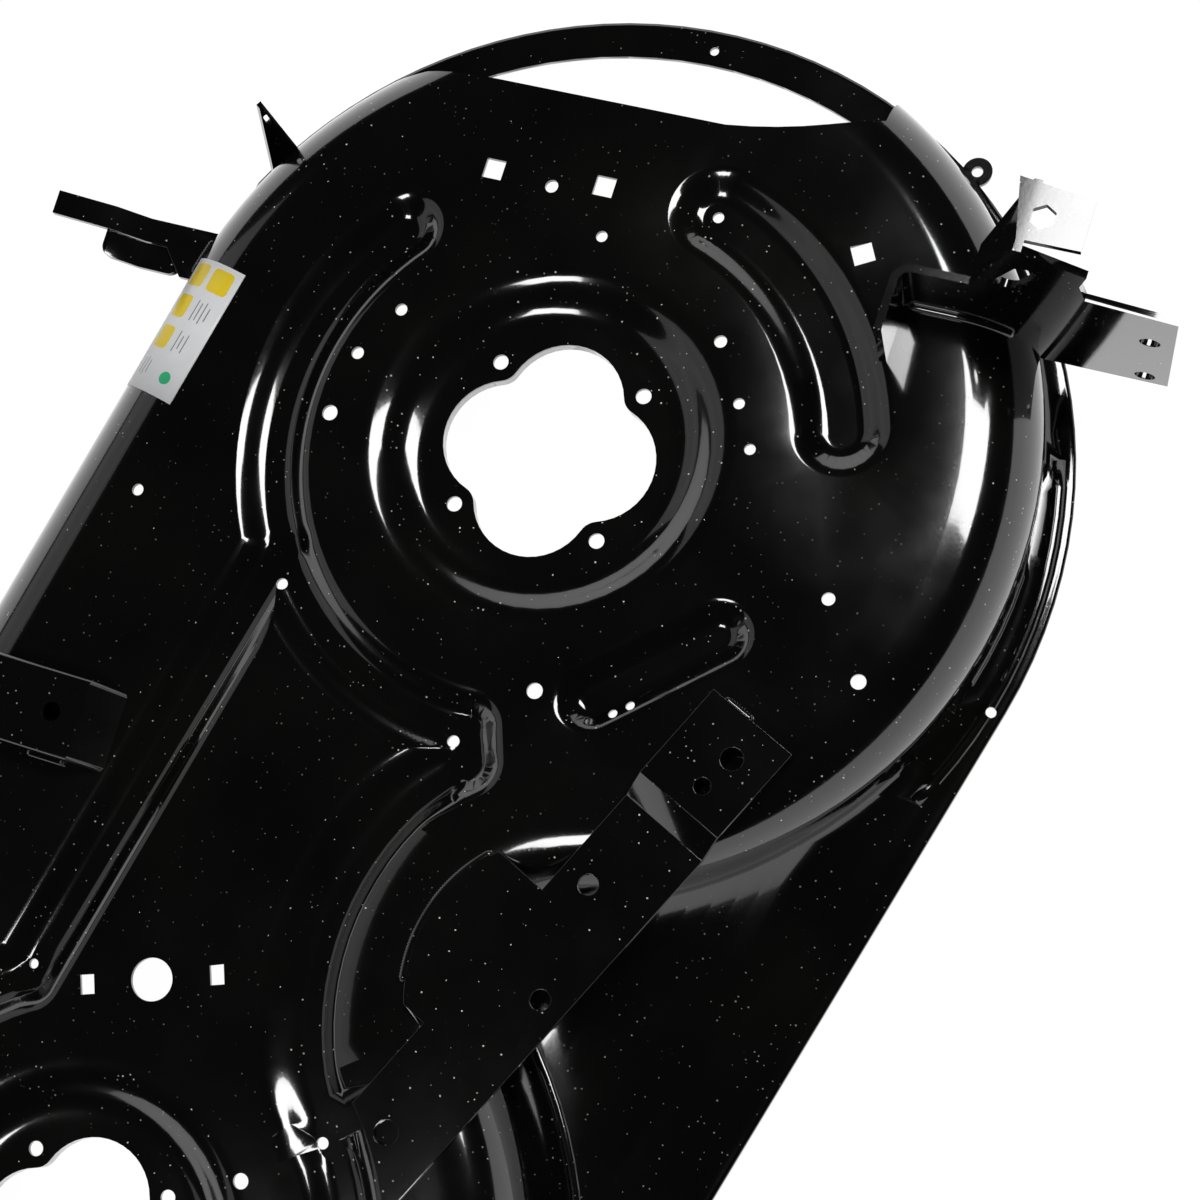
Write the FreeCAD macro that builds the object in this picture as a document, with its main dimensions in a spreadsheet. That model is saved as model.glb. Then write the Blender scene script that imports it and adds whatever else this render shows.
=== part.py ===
# Lawn mower deck: a pressed steel shell for two blades with its welded brackets.
# Millimetres. The finished pieces have their origin in the middle of the right spindle's bolt square,
# on the upper face of its sunk seat. They are laid out from the middle of the circle that the front
# wall follows round the right spindle, at the level of the flat top, and are moved once at the end.
# +X points to the discharge side, +Y to the front and +Z up.

import FreeCAD, Part
import Sketcher
import math
import os
from types import SimpleNamespace

Vector = FreeCAD.Vector

# Driving dimensions.
SIZES = {
    # sheet and overall form
    "gauge": 2.5,
    "deck_height": 64.0,
    "shoulder_radius": 40.0,
    "spindle_pitch": 499.0,
    "spindle_skew": 13.09,
    # wall outline
    "front_wall_radius": 252.0,
    "left_wall_step": 5.0,
    "rear_wall_step": 2.5,
    "rear_wall_x": 12.8,
    "rear_wall_y": 2.3,
    "valley_radius": 54.0,
    "closing_radius": 60.0,
    "closing_x": 230.0,
    "closing_y": 20.0,
    # bottom flange
    "flange_width": 19.7,
    "front_flange_width": 10.0,
    "hoop_width": 20.2,
    "hoop_start_angle": -46.0,
    "hoop_end_angle": 56.0,
    "lip_drop": 5.0,
    "bead_inset": 8.7,
    "bead_radius": 4.0,
    "bead_height": 2.0,
    "right_bead_start": -14.0,
    "right_bead_end": 30.0,
    "left_bead_start": 8.0,
    "left_bead_end": 62.0,
    "ear_angle": -36.47,
    "ear_outset": 3.9,
    "ear_radius": 8.0,
    "ear_hole": 6.0,
    "hoop_hole_angle": -0.49,
    "hoop_hole_inset": 11.8,
    "hoop_hole": 5.0,
    "flange_hole_angle": -103.79,
    "flange_hole_inset": 6.5,
    "flange_hole": 5.5,
    # side discharge
    "mouth_x": 194.5,
    "mouth_front_y": 138.0,
    "mouth_rear_y": -37.0,
    "mouth_flare_x": 216.0,
    "mouth_flare_y": -118.0,
    "mouth_flare_bow": 2.6,
    "mouth_front_bottom_x": 185.0,
    "mouth_front_bottom_y": 175.0,
    # spindle seats
    "bolt_square": 82.5,
    "bolt_hole": 8.5,
    "opening_reach": 60.0,
    "opening_lobe_radius": 33.0,
    "opening_lip": 5.0,
    "seat_floor_radius": 66.0,
    "seat_run": 39.0,
    "seat_depth": 14.0,
    "right_seat_x": 3.3,
    "right_seat_y": 3.9,
    "left_seat_x": -2.2,
    "left_seat_y": 5.2,
    # pressed channels
    "channel_depth": 9.0,
    "channel_floor": 8.0,
    "channel_run": 19.0,
    "channel_circle": 156.0,
    "left_channel_circle": 152.0,
    "channel_start_angle": 49.0,
    "channel_end_angle": 181.0,
    "front_channel_offset": 107.0,
    "valley_channel_back_x": -6.0,
    "valley_channel_back_y": -27.3,
    "valley_channel_front_run": 28.0,
    "valley_channel_rear_run": 12.0,
    "valley_channel_start_angle": 47.0,
    "side_rib_circle": 154.5,
    "side_rib_crest": 15.0,
    "side_rib_run": 20.0,
    "side_rib_start_angle": -71.5,
    "side_rib_end_angle": -18.0,
    "rear_rib_offset": 133.0,
    "rear_rib_direction": 223.0,
    "rear_rib_half_length": 37.0,
    "rear_rib_run": 17.0,
    # larger openings in the top between the channels
    "drain_x": -337.0,
    "drain_y": 120.5,
    "drain_hole": 24.0,
    "slot_spread": 37.7,
    "slot_direction": 111.6,
    "slot_width": 8.0,
    "slot_length": 11.0,
    # rear plate
    "plate_gauge": 3.0,
    "rear_plate_turn": -24.15,
    "rear_plate_front": -158.0,
    "rear_plate_rear": -211.0,
    "rear_plate_end": -41.5,
    "rear_plate_high_bend": -98.0,
    "rear_plate_low_bend": -111.6,
    "rear_plate_rise": 12.0,
    "rear_plate_lobe_radius": 86.0,
    "rear_plate_lobe_start": -177.5,
    "rear_plate_lobe_end": -271.5,
    "rear_plate_channel_overlap": 2.0,
    "rear_plate_left_reach": -420.0,
    "weld_size": 4.0,
    "bead_size": 3.0,
    "arc_weld_start": -22.0,
    "arc_weld_end": 36.0,
    "end_weld_length": 20.0,
    # wheel bracket
    "bracket_gauge": 4.0,
    "bracket_face_x": 120.0,
    "bracket_front_y": -154.0,
    "bracket_step_y": -192.0,
    "bracket_low_top": 50.0,
    "bracket_high_top": 108.0,
    "bracket_high_y": -214.0,
    "bracket_rear_y": -249.0,
    "bracket_rear_top": 91.0,
    "bracket_notch_y": -246.0,
    "bracket_notch_z": 78.0,
    "arm_top_inner": 61.0,
    "arm_top_outer": 54.0,
    "arm_end_y": -294.0,
    "arm_bottom": -38.0,
    "axle_hole": 10.5,
    "axle_hole_y": -282.0,
    "axle_hole_high": 22.0,
    "axle_hole_low": -29.0,
    "adjust_slot_width": 12.0,
    "adjust_slot_low_y": -211.5,
    "adjust_slot_low_z": 63.5,
    "adjust_slot_high_y": -219.5,
    "adjust_slot_high_z": 80.0,
    "return_flange_reach": 32.0,
    "bracket_fold_radius": 6.0,
    "side_flange_reach": 32.0,
    "side_flange_low_reach": 16.0,
    "hex_plate_length": 30.4,
    "hex_plate_gap": 2.0,
    "hex_plate_lead": 7.0,
    "hex_plate_taper": 5.0,
    "hex_across": 11.0,
    "hex_hole_x": 138.5,
    "hex_hole_y": -223.0,
    "wheel_weld_start_y": -162.0,
    "wheel_weld_end_y": -215.0,
    # front box bracket
    "box_gauge": 3.0,
    "box_top": 18.0,
    "box_right_x": -190.0,
    "box_left_x": -238.0,
    "box_rear_top_y": 203.0,
    "box_rear_foot_y": 187.0,
    "box_front_y": 322.0,
    "box_skirt": 24.0,
    "box_fold_radius": 4.0,
    "box_foot_wall": 4.2,
    "box_bend_wall": 1.5,
    "box_hole": 11.0,
    "box_hole_x": -213.8,
    "box_hole_y": 220.0,
    "box_weld_start_y": 209.0,
    "box_weld_end_y": 235.0,
    # front strap
    "strap_gauge": 4.0,
    "strap_width": 14.0,
    "strap_root_width": 30.0,
    "strap_x": 77.0,
    "strap_root_y": 225.0,
    "strap_root_z": -32.0,
    "strap_bend_y": 282.0,
    "strap_step_run": 20.0,
    "strap_step": 8.0,
    "strap_end_y": 338.0,
    "strap_end_rise": 6.0,
    "strap_root_taper_y": 268.0,
    "strap_wing_rear_y": 257.0,
    "strap_wing_front_y": 305.0,
    "strap_wing_reach": 15.0,
    "strap_wing_drop": 3.0,
    "strap_wing_corner": 7.0,
    # front tab
    "tab_gauge": 3.0,
    "tab_angle": 56.0,
    "tab_inset": 9.7,
    "tab_foot_left": 19.0,
    "tab_foot_right": 4.0,
    "tab_top_width": 3.0,
    "tab_top": 14.0,
    "tab_slot_offset": 1.5,
    "tab_slot_width": 2.6,
    "tab_slot_top": 3.0,
    "tab_slot_length": 9.0,
    # label
    "label_length": 84.0,
    "label_start": -8.0,
    "label_flat": 5.0,
    "label_wrap_angle": 56.0,
    "label_thickness": 0.3,
    "label_clearance": 0.1,
}

# Round holes in the top face: x, y and diameter.
TOP_HOLES = {
    "ring_right": (56.3, 104.9, 6.8),
    "ring_middle": (27.1, 121.3, 7.0),
    "ring_left": (-9.1, 125.8, 8.7),
    "mouth_inner": (141.7, 44.6, 7.2),
    "mouth_middle": (120.5, 8.8, 6.2),
    "arc_first": (79.0, -71.3, 6.8),
    "arc_second": (48.9, -91.0, 6.0),
    "arc_third": (26.6, -104.0, 6.0),
    "rear_first": (-39.5, -166.9, 7.0),
    "rear_second": (-76.9, -194.3, 8.0),
    "floor_right": (-126.8, -34.0, 8.7),
    "junction_rear": (-163.9, 2.3, 6.6),
    "junction_front": (-106.8, 124.2, 6.6),
    "front_edge": (-78.5, 221.1, 6.7),
    "junction_left": (-350.2, 193.7, 5.5),
    "left_ring": (-423.6, 36.2, 8.7),
    "left_channel": (-390.6, 2.0, 6.6),
    "side_rib_end": (147.2, -47.3, 6.0),
    "rear_rib_first": (-126.5, -76.9, 5.0),
    "rear_rib_second": (-120.0, -84.5, 5.0),
}

# Square holes in the top face: x, y, side and turn.
SQUARE_HOLES = {
    "mouth_front": (144.4, 79.2, 11.0, 0.0),
    "mouth_rear": (147.7, 16.1, 11.0, 0.0),
    "shoulder": (141.5, -128.9, 11.0, 30.0),
}

# Round holes in the rear plate, in the plate's own directions: along, across and diameter.
REAR_PLATE_HOLES = {
    "end_first": (-62.8, -189.4, 12.0),
    "end_second": (-83.0, -187.3, 9.0),
    "lobe_right": (-159.6, -174.7, 11.0),
    "middle": (-220.9, -196.4, 11.0),
    "lobe_left": (-327.5, -182.1, 13.5),
}

# How far a joined form reaches into the one that carries it, and past a face that it cuts.
BURY = 3.0
# How far the foot of a raised form starts under the face that it rises from.
FOOT = 0.05
# Where a weld's face bulges, as a share of its size.
WELD_CROWN = 0.65
# The straight lengths that a weld over the shoulder is made of.
WELD_STEPS = 5
# The way in which a swept section turns a corner: with its sides carried on to a sharp mitre.
RIGHT_CORNER = 1


class Size:
    """A length from the sheet together with the expression that stands for it."""

    def __init__(self, value, text):
        self.value = value
        self.text = text

    def __add__(self, other):
        return Size(self.value + value_of(other), "(%s + %s)" % (self.text, text_of(other)))

    def __sub__(self, other):
        return Size(self.value - value_of(other), "(%s - %s)" % (self.text, text_of(other)))

    def __mul__(self, factor):
        return Size(self.value * factor, "(%s * %s)" % (self.text, factor))

    def __neg__(self):
        return self * -1


def value_of(item):
    """The number of a size or of a plain number."""
    return item.value if isinstance(item, Size) else float(item)


def text_of(item):
    """The expression of a size or of a plain number."""
    return item.text if isinstance(item, Size) else repr(float(item))


def make_sheet(doc):
    """Write the driving dimensions to a sheet and return them as sizes and as numbers."""
    rows = dict(SIZES)
    for name, (x, y, diameter) in TOP_HOLES.items():
        rows["hole_%s_x" % name] = x
        rows["hole_%s_y" % name] = y
        rows["hole_%s_size" % name] = diameter
    for name, (x, y, diameter) in REAR_PLATE_HOLES.items():
        rows["plate_%s_x" % name] = x
        rows["plate_%s_y" % name] = y
        rows["plate_%s_size" % name] = diameter
    for name, (x, y, side, turn) in SQUARE_HOLES.items():
        rows["square_%s_x" % name] = x
        rows["square_%s_y" % name] = y
        rows["square_%s_side" % name] = side
        rows["square_%s_turn" % name] = turn
    sheet = doc.addObject("Spreadsheet::Sheet", "Sizes")
    for row, (name, value) in enumerate(rows.items(), start=1):
        sheet.set("A%d" % row, name)
        sheet.set("B%d" % row, repr(value))
        sheet.setAlias("B%d" % row, name)
    doc.recompute()
    numbers = {name: float(sheet.get(name)) for name in rows}
    sizes = {name: Size(numbers[name], "Sizes." + name) for name in rows}
    return SimpleNamespace(**sizes), SimpleNamespace(**numbers)


# Plan geometry.

def polar(angle, distance, centre=Vector(0, 0, 0)):
    """The point at an angle in degrees and a distance from a centre."""
    turn = math.radians(angle)
    return centre + Vector(math.cos(turn) * distance, math.sin(turn) * distance, 0)


def angle_of(vector):
    """The plan angle of a vector in degrees."""
    return math.degrees(math.atan2(vector.y, vector.x))


def arc_edge(centre, radius, start, end):
    """A plan arc that runs counter-clockwise from a start angle to an end angle."""
    sweep = (end - start) % 360.0
    points = [polar(start + sweep * share, radius, centre) for share in (0.0, 0.5, 1.0)]
    return Part.Arc(*points).toShape()


def line_edge(first, second):
    """A straight edge between two points."""
    return Part.LineSegment(first, second).toShape()


def closed_face(edges):
    """The flat face inside a closed loop of edges."""
    return Part.Face(Part.Wire(Part.__sortEdges__(edges)))


def prism(face, bottom, top):
    """A plan face as a solid between two levels."""
    solid = face.extrude(Vector(0, 0, top - bottom))
    solid.translate(Vector(0, 0, bottom))
    return solid


def polygon_face(points):
    """The flat face inside a polygon."""
    return Part.Face(Part.makePolygon(points + points[:1]))


def tangent_angle(first, first_radius, second, second_radius):
    """The outward direction of the straight line that leaves one circle for the next."""
    gap = second - first
    return angle_of(gap) - math.degrees(math.acos((first_radius - second_radius) / gap.Length))


def circle_meeting(first, first_reach, second, second_reach, side):
    """The point at two given distances from two centres, on the right (-1) or left (1) of the line."""
    gap = second - first
    along = (first_reach ** 2 - second_reach ** 2 + gap.Length ** 2) / (2.0 * gap.Length)
    across = math.sqrt(first_reach ** 2 - along ** 2)
    unit = gap * (1.0 / gap.Length)
    return first + unit * along + Vector(-unit.y, unit.x, 0) * (across * side)


class Layout:
    """The centres and directions that the shell and its brackets share."""

    def __init__(self, n):
        skew = math.radians(n.spindle_skew)
        self.along = Vector(-math.cos(skew), math.sin(skew), 0)
        self.forward = Vector(math.sin(skew), math.cos(skew), 0)
        self.right = Vector(0, 0, 0)
        self.left = self.along * n.spindle_pitch
        self.right_seat = self.right + Vector(n.right_seat_x, n.right_seat_y, 0)
        self.left_seat = self.left + Vector(n.left_seat_x, n.left_seat_y, 0)
        self.left_wall = self.left + self.forward * n.left_wall_step
        self.left_wall_radius = n.front_wall_radius - n.left_wall_step
        self.rear_wall = Vector(n.rear_wall_x, n.rear_wall_y, 0)
        self.rear_wall_radius = n.front_wall_radius + n.rear_wall_step
        self.closing = Vector(n.closing_x, n.closing_y, 0)
        self.valley = circle_meeting(
            self.rear_wall, self.rear_wall_radius + n.valley_radius,
            self.left_wall, self.left_wall_radius + n.valley_radius, 1)
        self.valley_channel = self.valley + Vector(n.valley_channel_back_x, n.valley_channel_back_y, 0)
        self.valley_channel_radius = (self.left - self.valley_channel).Length - n.left_channel_circle
        self.flange_radius = n.front_wall_radius + n.flange_width
        self.front_flange_reach = n.front_wall_radius + n.front_flange_width
        self.ear = polar(n.ear_angle, self.flange_radius + n.ear_outset)
        self.hoop_hole = polar(n.hoop_hole_angle, self.flange_radius - n.hoop_hole_inset)
        self.flange_hole = polar(n.flange_hole_angle, self.flange_radius - n.flange_hole_inset)


def wall_face(n, plan, inset):
    """The inside of the wall outline, moved inwards by an inset."""
    front = n.front_wall_radius - inset
    left = plan.left_wall_radius - inset
    rear = plan.rear_wall_radius - inset
    closing = n.closing_radius - inset
    valley = n.valley_radius + inset
    forward = angle_of(plan.forward)
    to_valley_left = angle_of(plan.valley - plan.left_wall)
    to_valley_right = angle_of(plan.valley - plan.rear_wall)
    leave_rear = tangent_angle(plan.rear_wall, rear, plan.closing, closing)
    reach_front = tangent_angle(plan.closing, closing, plan.right, front)
    return closed_face([
        arc_edge(plan.right, front, reach_front, forward),
        line_edge(polar(forward, front, plan.right), polar(forward, left, plan.left_wall)),
        arc_edge(plan.left_wall, left, forward, to_valley_left),
        arc_edge(plan.valley, valley, to_valley_right + 180.0, to_valley_left + 180.0),
        arc_edge(plan.rear_wall, rear, to_valley_right, leave_rear),
        line_edge(polar(leave_rear, rear, plan.rear_wall), polar(leave_rear, closing, plan.closing)),
        arc_edge(plan.closing, closing, leave_rear, reach_front),
        line_edge(polar(reach_front, closing, plan.closing), polar(reach_front, front, plan.right)),
    ])


def flange_face(plan, inset):
    """The inside of the flange outline: two circles, the rear tangent and the front edge."""
    radius = plan.flange_radius - inset
    reach = plan.front_flange_reach - inset
    forward = angle_of(plan.forward)
    spread = math.degrees(math.acos(reach / radius))
    right_front = polar(forward - spread, radius, plan.right)
    left_front = polar(forward + spread, radius, plan.left)
    right_rear = polar(forward + 180.0, radius, plan.right)
    left_rear = polar(forward + 180.0, radius, plan.left)
    return closed_face([
        line_edge(right_front, left_front),
        arc_edge(plan.left, radius, forward + spread, forward + 180.0),
        line_edge(left_rear, right_rear),
        arc_edge(plan.right, radius, forward - 180.0, forward - spread),
    ])


# Pressed forms. Each is drawn as a ridge with a flat crest and a slope on each side, and is then
# turned over about the middle of the sheet, which makes it a channel pressed down into the top.
# The depth under the face that carries the ridge is 0 or the gauge.

def slope_points(base_x, crest_x, height, depth):
    """The foot and the crest of a slope in the XZ plane, moved square to it by the depth."""
    run = crest_x - base_x
    rise = height + FOOT
    lean = math.copysign(1.0, run)
    shift = lean * depth * math.tan(math.atan2(rise, abs(run)) / 2.0)
    return Vector(base_x + shift, 0, -FOOT - depth), Vector(crest_x + shift, 0, height - depth)


def ridge_section(middle, crest_width, inner_run, outer_run, height, depth):
    """The section of a ridge in the XZ plane, with its middle at a distance from the axis."""
    inner_crest = middle - crest_width / 2.0
    outer_crest = middle + crest_width / 2.0
    inner_foot, inner_top = slope_points(inner_crest - inner_run, inner_crest, height, depth)
    outer_foot, outer_top = slope_points(outer_crest + outer_run, outer_crest, height, depth)
    sunk_inner = Vector(inner_foot.x, 0, -depth - BURY)
    sunk_outer = Vector(outer_foot.x, 0, -depth - BURY)
    return polygon_face([sunk_inner, inner_foot, inner_top, outer_top, outer_foot, sunk_outer])


def ridge_end(centre, crest_width, run, height, depth):
    """The round end of a ridge about its own upright axis."""
    crest = crest_width / 2.0
    foot, top = slope_points(crest + run, crest, height, depth)
    axis_top = Vector(0, 0, top.z)
    axis_bottom = Vector(0, 0, -depth - BURY)
    sunk = Vector(foot.x, 0, -depth - BURY)
    face = polygon_face([axis_top, top, foot, sunk, axis_bottom])
    solid = face.revolve(Vector(0, 0, 0), Vector(0, 0, 1), 360.0)
    solid.translate(centre)
    return solid


def curved_ridge(section, centre, start, end):
    """A ridge that follows a circle between two angles."""
    solid = section.revolve(Vector(0, 0, 0), Vector(0, 0, 1), end - start)
    solid.rotate(Vector(0, 0, 0), Vector(0, 0, 1), start)
    solid.translate(centre)
    return solid


def straight_ridge(section, start, end):
    """A ridge that follows a straight line between two points."""
    gap = end - start
    solid = section.extrude(Vector(0, gap.Length, 0))
    solid.rotate(Vector(0, 0, 0), Vector(0, 0, 1), angle_of(gap) - 90.0)
    solid.translate(start)
    return solid


def channel_points(n, plan):
    """The places where the centre lines of the channels meet."""
    offset = n.front_channel_offset
    right_reach = math.sqrt(n.channel_circle ** 2 - offset ** 2)
    left_reach = math.sqrt(n.left_channel_circle ** 2 - offset ** 2)
    right = plan.along * right_reach + plan.forward * offset
    left = plan.along * (n.spindle_pitch - left_reach) + plan.forward * offset
    return right, left


def raised_forms(n, plan, depth):
    """Every channel, rib and spindle seat as a ridge at a depth under the upper face."""
    height = n.channel_depth
    floor, run = n.channel_floor, n.channel_run
    line = ridge_section(0.0, floor, run, run, height, depth)
    right_circle = ridge_section(n.channel_circle, floor, run, run, height, depth)
    left_circle = ridge_section(n.left_channel_circle, floor, run, run, height, depth)
    valley_circle = ridge_section(plan.valley_channel_radius, floor, n.valley_channel_rear_run,
                                  n.valley_channel_front_run, height, depth)
    side_circle = ridge_section(n.side_rib_circle, n.side_rib_crest, n.side_rib_run, n.side_rib_run,
                                height, depth)
    short_line = ridge_section(0.0, floor, n.rear_rib_run, n.rear_rib_run, height, depth)

    def end_at(centre):
        return ridge_end(centre, floor, run, height, depth)

    right_meeting, left_meeting = channel_points(n, plan)
    ring_start = polar(n.channel_start_angle, n.channel_circle, plan.right)
    ring_end = polar(n.channel_end_angle, n.channel_circle, plan.right)
    valley_start = polar(n.valley_channel_start_angle, plan.valley_channel_radius, plan.valley_channel)
    valley_end_angle = angle_of(plan.left - plan.valley_channel)
    left_start_angle = angle_of(left_meeting - plan.left)
    left_end_angle = angle_of(plan.valley_channel - plan.left) + 360.0
    side_ends = [polar(angle, n.side_rib_circle, plan.right)
                 for angle in (n.side_rib_start_angle, n.side_rib_end_angle)]
    rear_middle = polar(n.rear_rib_direction, n.rear_rib_offset, plan.right)
    rear_ends = [polar(n.rear_rib_direction + turn, n.rear_rib_half_length, rear_middle)
                 for turn in (90.0, -90.0)]
    forms = [
        ridge_end(plan.right_seat, 2.0 * n.seat_floor_radius, n.seat_run, n.seat_depth, depth),
        ridge_end(plan.left_seat, 2.0 * n.seat_floor_radius, n.seat_run, n.seat_depth, depth),
        curved_ridge(right_circle, plan.right, n.channel_start_angle, n.channel_end_angle),
        end_at(ring_start),
        end_at(ring_end),
        end_at(valley_start),
        end_at(left_meeting),
        straight_ridge(line, right_meeting, left_meeting),
        straight_ridge(line, ring_end, valley_start),
        curved_ridge(valley_circle, plan.valley_channel, n.valley_channel_start_angle, valley_end_angle),
        curved_ridge(left_circle, plan.left, left_start_angle, left_end_angle),
        curved_ridge(side_circle, plan.right, n.side_rib_start_angle, n.side_rib_end_angle),
        straight_ridge(short_line, rear_ends[0], rear_ends[1]),
    ]
    forms += [ridge_end(point, n.side_rib_crest, n.side_rib_run, height, depth) for point in side_ends]
    forms += [ridge_end(point, floor, n.rear_rib_run, height, depth) for point in rear_ends]
    return forms


def pressed_form(n, plan, depth, bottom):
    """The solid under the outer face (depth 0) or under the inner face (depth of the gauge)."""
    middle = Vector(0, 0, -n.gauge / 2.0)
    tub = prism(wall_face(n, plan, depth), bottom, -depth)
    rim = [edge for edge in tub.Edges if abs(edge.BoundBox.ZMin + depth) < 1e-6]
    tub = tub.makeFillet(n.shoulder_radius - depth, rim)
    ridges = raised_forms(n, plan, n.gauge - depth)
    return tub.cut([ridge.mirror(middle, Vector(0, 0, 1)) for ridge in ridges])


def opening_face(n, centre, growth):
    """The four-lobed spindle opening, whose waists follow the bolt holes."""
    lobe = n.opening_lobe_radius
    lobe_offset = n.opening_reach - lobe
    bolt = n.bolt_square / 2.0
    waist_gap = Vector(bolt - lobe_offset, bolt, 0)
    waist = waist_gap.Length - lobe
    turn = angle_of(waist_gap)
    edges = []
    for quarter in range(4):
        axis = 90.0 * quarter
        lobe_centre = polar(axis, lobe_offset, centre)
        bolt_centre = polar(axis + 45.0, bolt * math.sqrt(2.0), centre)
        edges.append(arc_edge(lobe_centre, lobe + growth, axis - turn, axis + turn))
        edges.append(arc_edge(bolt_centre, waist - growth, axis + 270.0 - turn, axis + 180.0 + turn))
    return closed_face(edges)


def round_hole(x, y, diameter, bottom, top):
    """An upright drill between two levels."""
    return Part.makeCylinder(diameter / 2.0, top - bottom, Vector(x, y, bottom))


def square_hole(x, y, length, width, turn, bottom, top):
    """An upright square punch between two levels."""
    punch = Part.makeBox(length, width, top - bottom, Vector(-length / 2.0, -width / 2.0, bottom))
    punch.rotate(Vector(0, 0, 0), Vector(0, 0, 1), turn)
    punch.translate(Vector(x, y, 0))
    return punch


def mouth_cutter(n, plan, bottom, top):
    """What the side discharge takes out of the top and the wall."""
    far = 2.0 * plan.flange_radius
    front_top = Vector(n.mouth_x, n.mouth_front_y, 0)
    front_bottom = Vector(n.mouth_front_bottom_x, n.mouth_front_bottom_y, 0)
    rear = Vector(n.mouth_x, n.mouth_rear_y, 0)
    flare = Vector(n.mouth_flare_x, n.mouth_flare_y, 0)
    bow = (rear + flare) * 0.5 + Vector(-n.mouth_flare_bow, -n.mouth_flare_bow, 0)
    front_far = Vector(front_bottom.x, far, 0)
    rear_far = Vector(far, flare.y, 0)
    face = closed_face([
        line_edge(front_top, rear),
        Part.Arc(rear, bow, flare).toShape(),
        line_edge(flare, rear_far),
        line_edge(rear_far, Vector(far, far, 0)),
        line_edge(Vector(far, far, 0), front_far),
        line_edge(front_far, front_bottom),
        line_edge(front_bottom, front_top),
    ])
    return prism(face, bottom, top)


def flange_beads(n, plan, outer):
    """The half-round beads on the flange, as the outer rise or as the groove under it."""
    middle = -n.deck_height - n.bead_radius + n.bead_height
    radius = n.bead_radius if outer else n.bead_radius - n.gauge
    bottom = middle if outer else middle - BURY
    circle = plan.flange_radius - n.bead_inset
    ends = [Vector(circle + side * radius, 0, middle) for side in (-1, 1)]
    crown = Vector(circle, 0, middle + radius)
    arch = Part.Arc(ends[0], crown, ends[1]).toShape()
    if outer:
        section = closed_face([arch, line_edge(ends[1], ends[0])])
    else:
        feet = [Vector(point.x, 0, bottom) for point in ends]
        section = closed_face([arch, line_edge(ends[1], feet[1]), line_edge(feet[1], feet[0]),
                               line_edge(feet[0], ends[0])])
    rear = angle_of(plan.forward) - 180.0
    right = curved_ridge(section, plan.right, rear + n.right_bead_start, rear + n.right_bead_end)
    left = curved_ridge(section, plan.left, rear + n.left_bead_start, rear + n.left_bead_end)
    return [right, left]


def make_shell(doc, n, plan):
    """The pressed shell with its flange, seats, channels, mouth and holes."""
    floor = -n.deck_height
    underside = floor - n.gauge
    outer = pressed_form(n, plan, 0.0, underside)
    inner = pressed_form(n, plan, n.gauge, underside - BURY)
    plate = prism(flange_face(plan, 0.0), underside, floor)
    lip_bottom = underside - n.lip_drop
    lip = prism(flange_face(plan, 0.0), lip_bottom, floor)
    lip = lip.cut(prism(flange_face(plan, n.gauge), lip_bottom - BURY, floor + BURY))
    shell = outer.fuse([plate] + flange_beads(n, plan, True))
    shell = shell.cut(mouth_cutter(n, plan, underside - BURY, BURY))
    shell = shell.cut(inner.fuse(flange_beads(n, plan, False)))

    hoop = Part.makeCylinder(plan.flange_radius, n.gauge, Vector(0, 0, underside), Vector(0, 0, 1),
                             n.hoop_end_angle - n.hoop_start_angle)
    hoop = hoop.cut(Part.makeCylinder(plan.flange_radius - n.hoop_width, n.gauge, Vector(0, 0, underside)))
    hoop.rotate(Vector(0, 0, 0), Vector(0, 0, 1), n.hoop_start_angle)
    ear = Part.makeCylinder(n.ear_radius, n.gauge, Vector(plan.ear.x, plan.ear.y, underside))
    collar_bottom = -n.seat_depth - n.gauge - n.opening_lip
    collars = [prism(opening_face(n, centre, n.gauge), collar_bottom, -n.seat_depth)
               for centre in (plan.right_seat, plan.left_seat)]
    shell = shell.fuse([hoop, lip, ear] + collars)

    through = BURY
    below = collar_bottom - BURY
    bolt = n.bolt_square / 2.0
    cutters = []
    for centre in (plan.right_seat, plan.left_seat):
        cutters.append(prism(opening_face(n, centre, 0.0), below, through))
        for side_x in (-1, 1):
            for side_y in (-1, 1):
                cutters.append(round_hole(centre.x + side_x * bolt, centre.y + side_y * bolt,
                                          n.bolt_hole, below, through))
    for name in TOP_HOLES:
        x, y, size = (getattr(n, "hole_%s_%s" % (name, part)) for part in ("x", "y", "size"))
        cutters.append(round_hole(x, y, size, below, through))
    for name in SQUARE_HOLES:
        x, y, side, turn = (getattr(n, "square_%s_%s" % (name, part))
                            for part in ("x", "y", "side", "turn"))
        cutters.append(square_hole(x, y, side, side, turn, below, through))
    cutters.append(round_hole(n.drain_x, n.drain_y, n.drain_hole, below, through))
    for side in (-1, 1):
        place = Vector(n.drain_x, n.drain_y, 0) + polar(n.slot_direction, n.slot_spread * side)
        cutters.append(square_hole(place.x, place.y, n.slot_length, n.slot_width, n.slot_direction - 90.0,
                                   below, through))
    flange_below = lip_bottom - BURY
    flange_above = floor + BURY
    for place, size in ((plan.ear, n.ear_hole), (plan.hoop_hole, n.hoop_hole),
                        (plan.flange_hole, n.flange_hole)):
        cutters.append(round_hole(place.x, place.y, size, flange_below, flange_above))
    if any(shell.common(cutter).Volume < n.gauge for cutter in cutters):
        raise RuntimeError("a hole misses the shell")
    shell = shell.cut(cutters)

    node = doc.addObject("Part::Feature", "deck_shell")
    node.Shape = shell
    node.Label = "deck_shell"
    form = doc.addObject("Part::Feature", "outer_form")
    form.Shape = outer
    return node, form


# Sketched bodies. Every point of a sketch is held at two lengths from the sketch's own origin.

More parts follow.
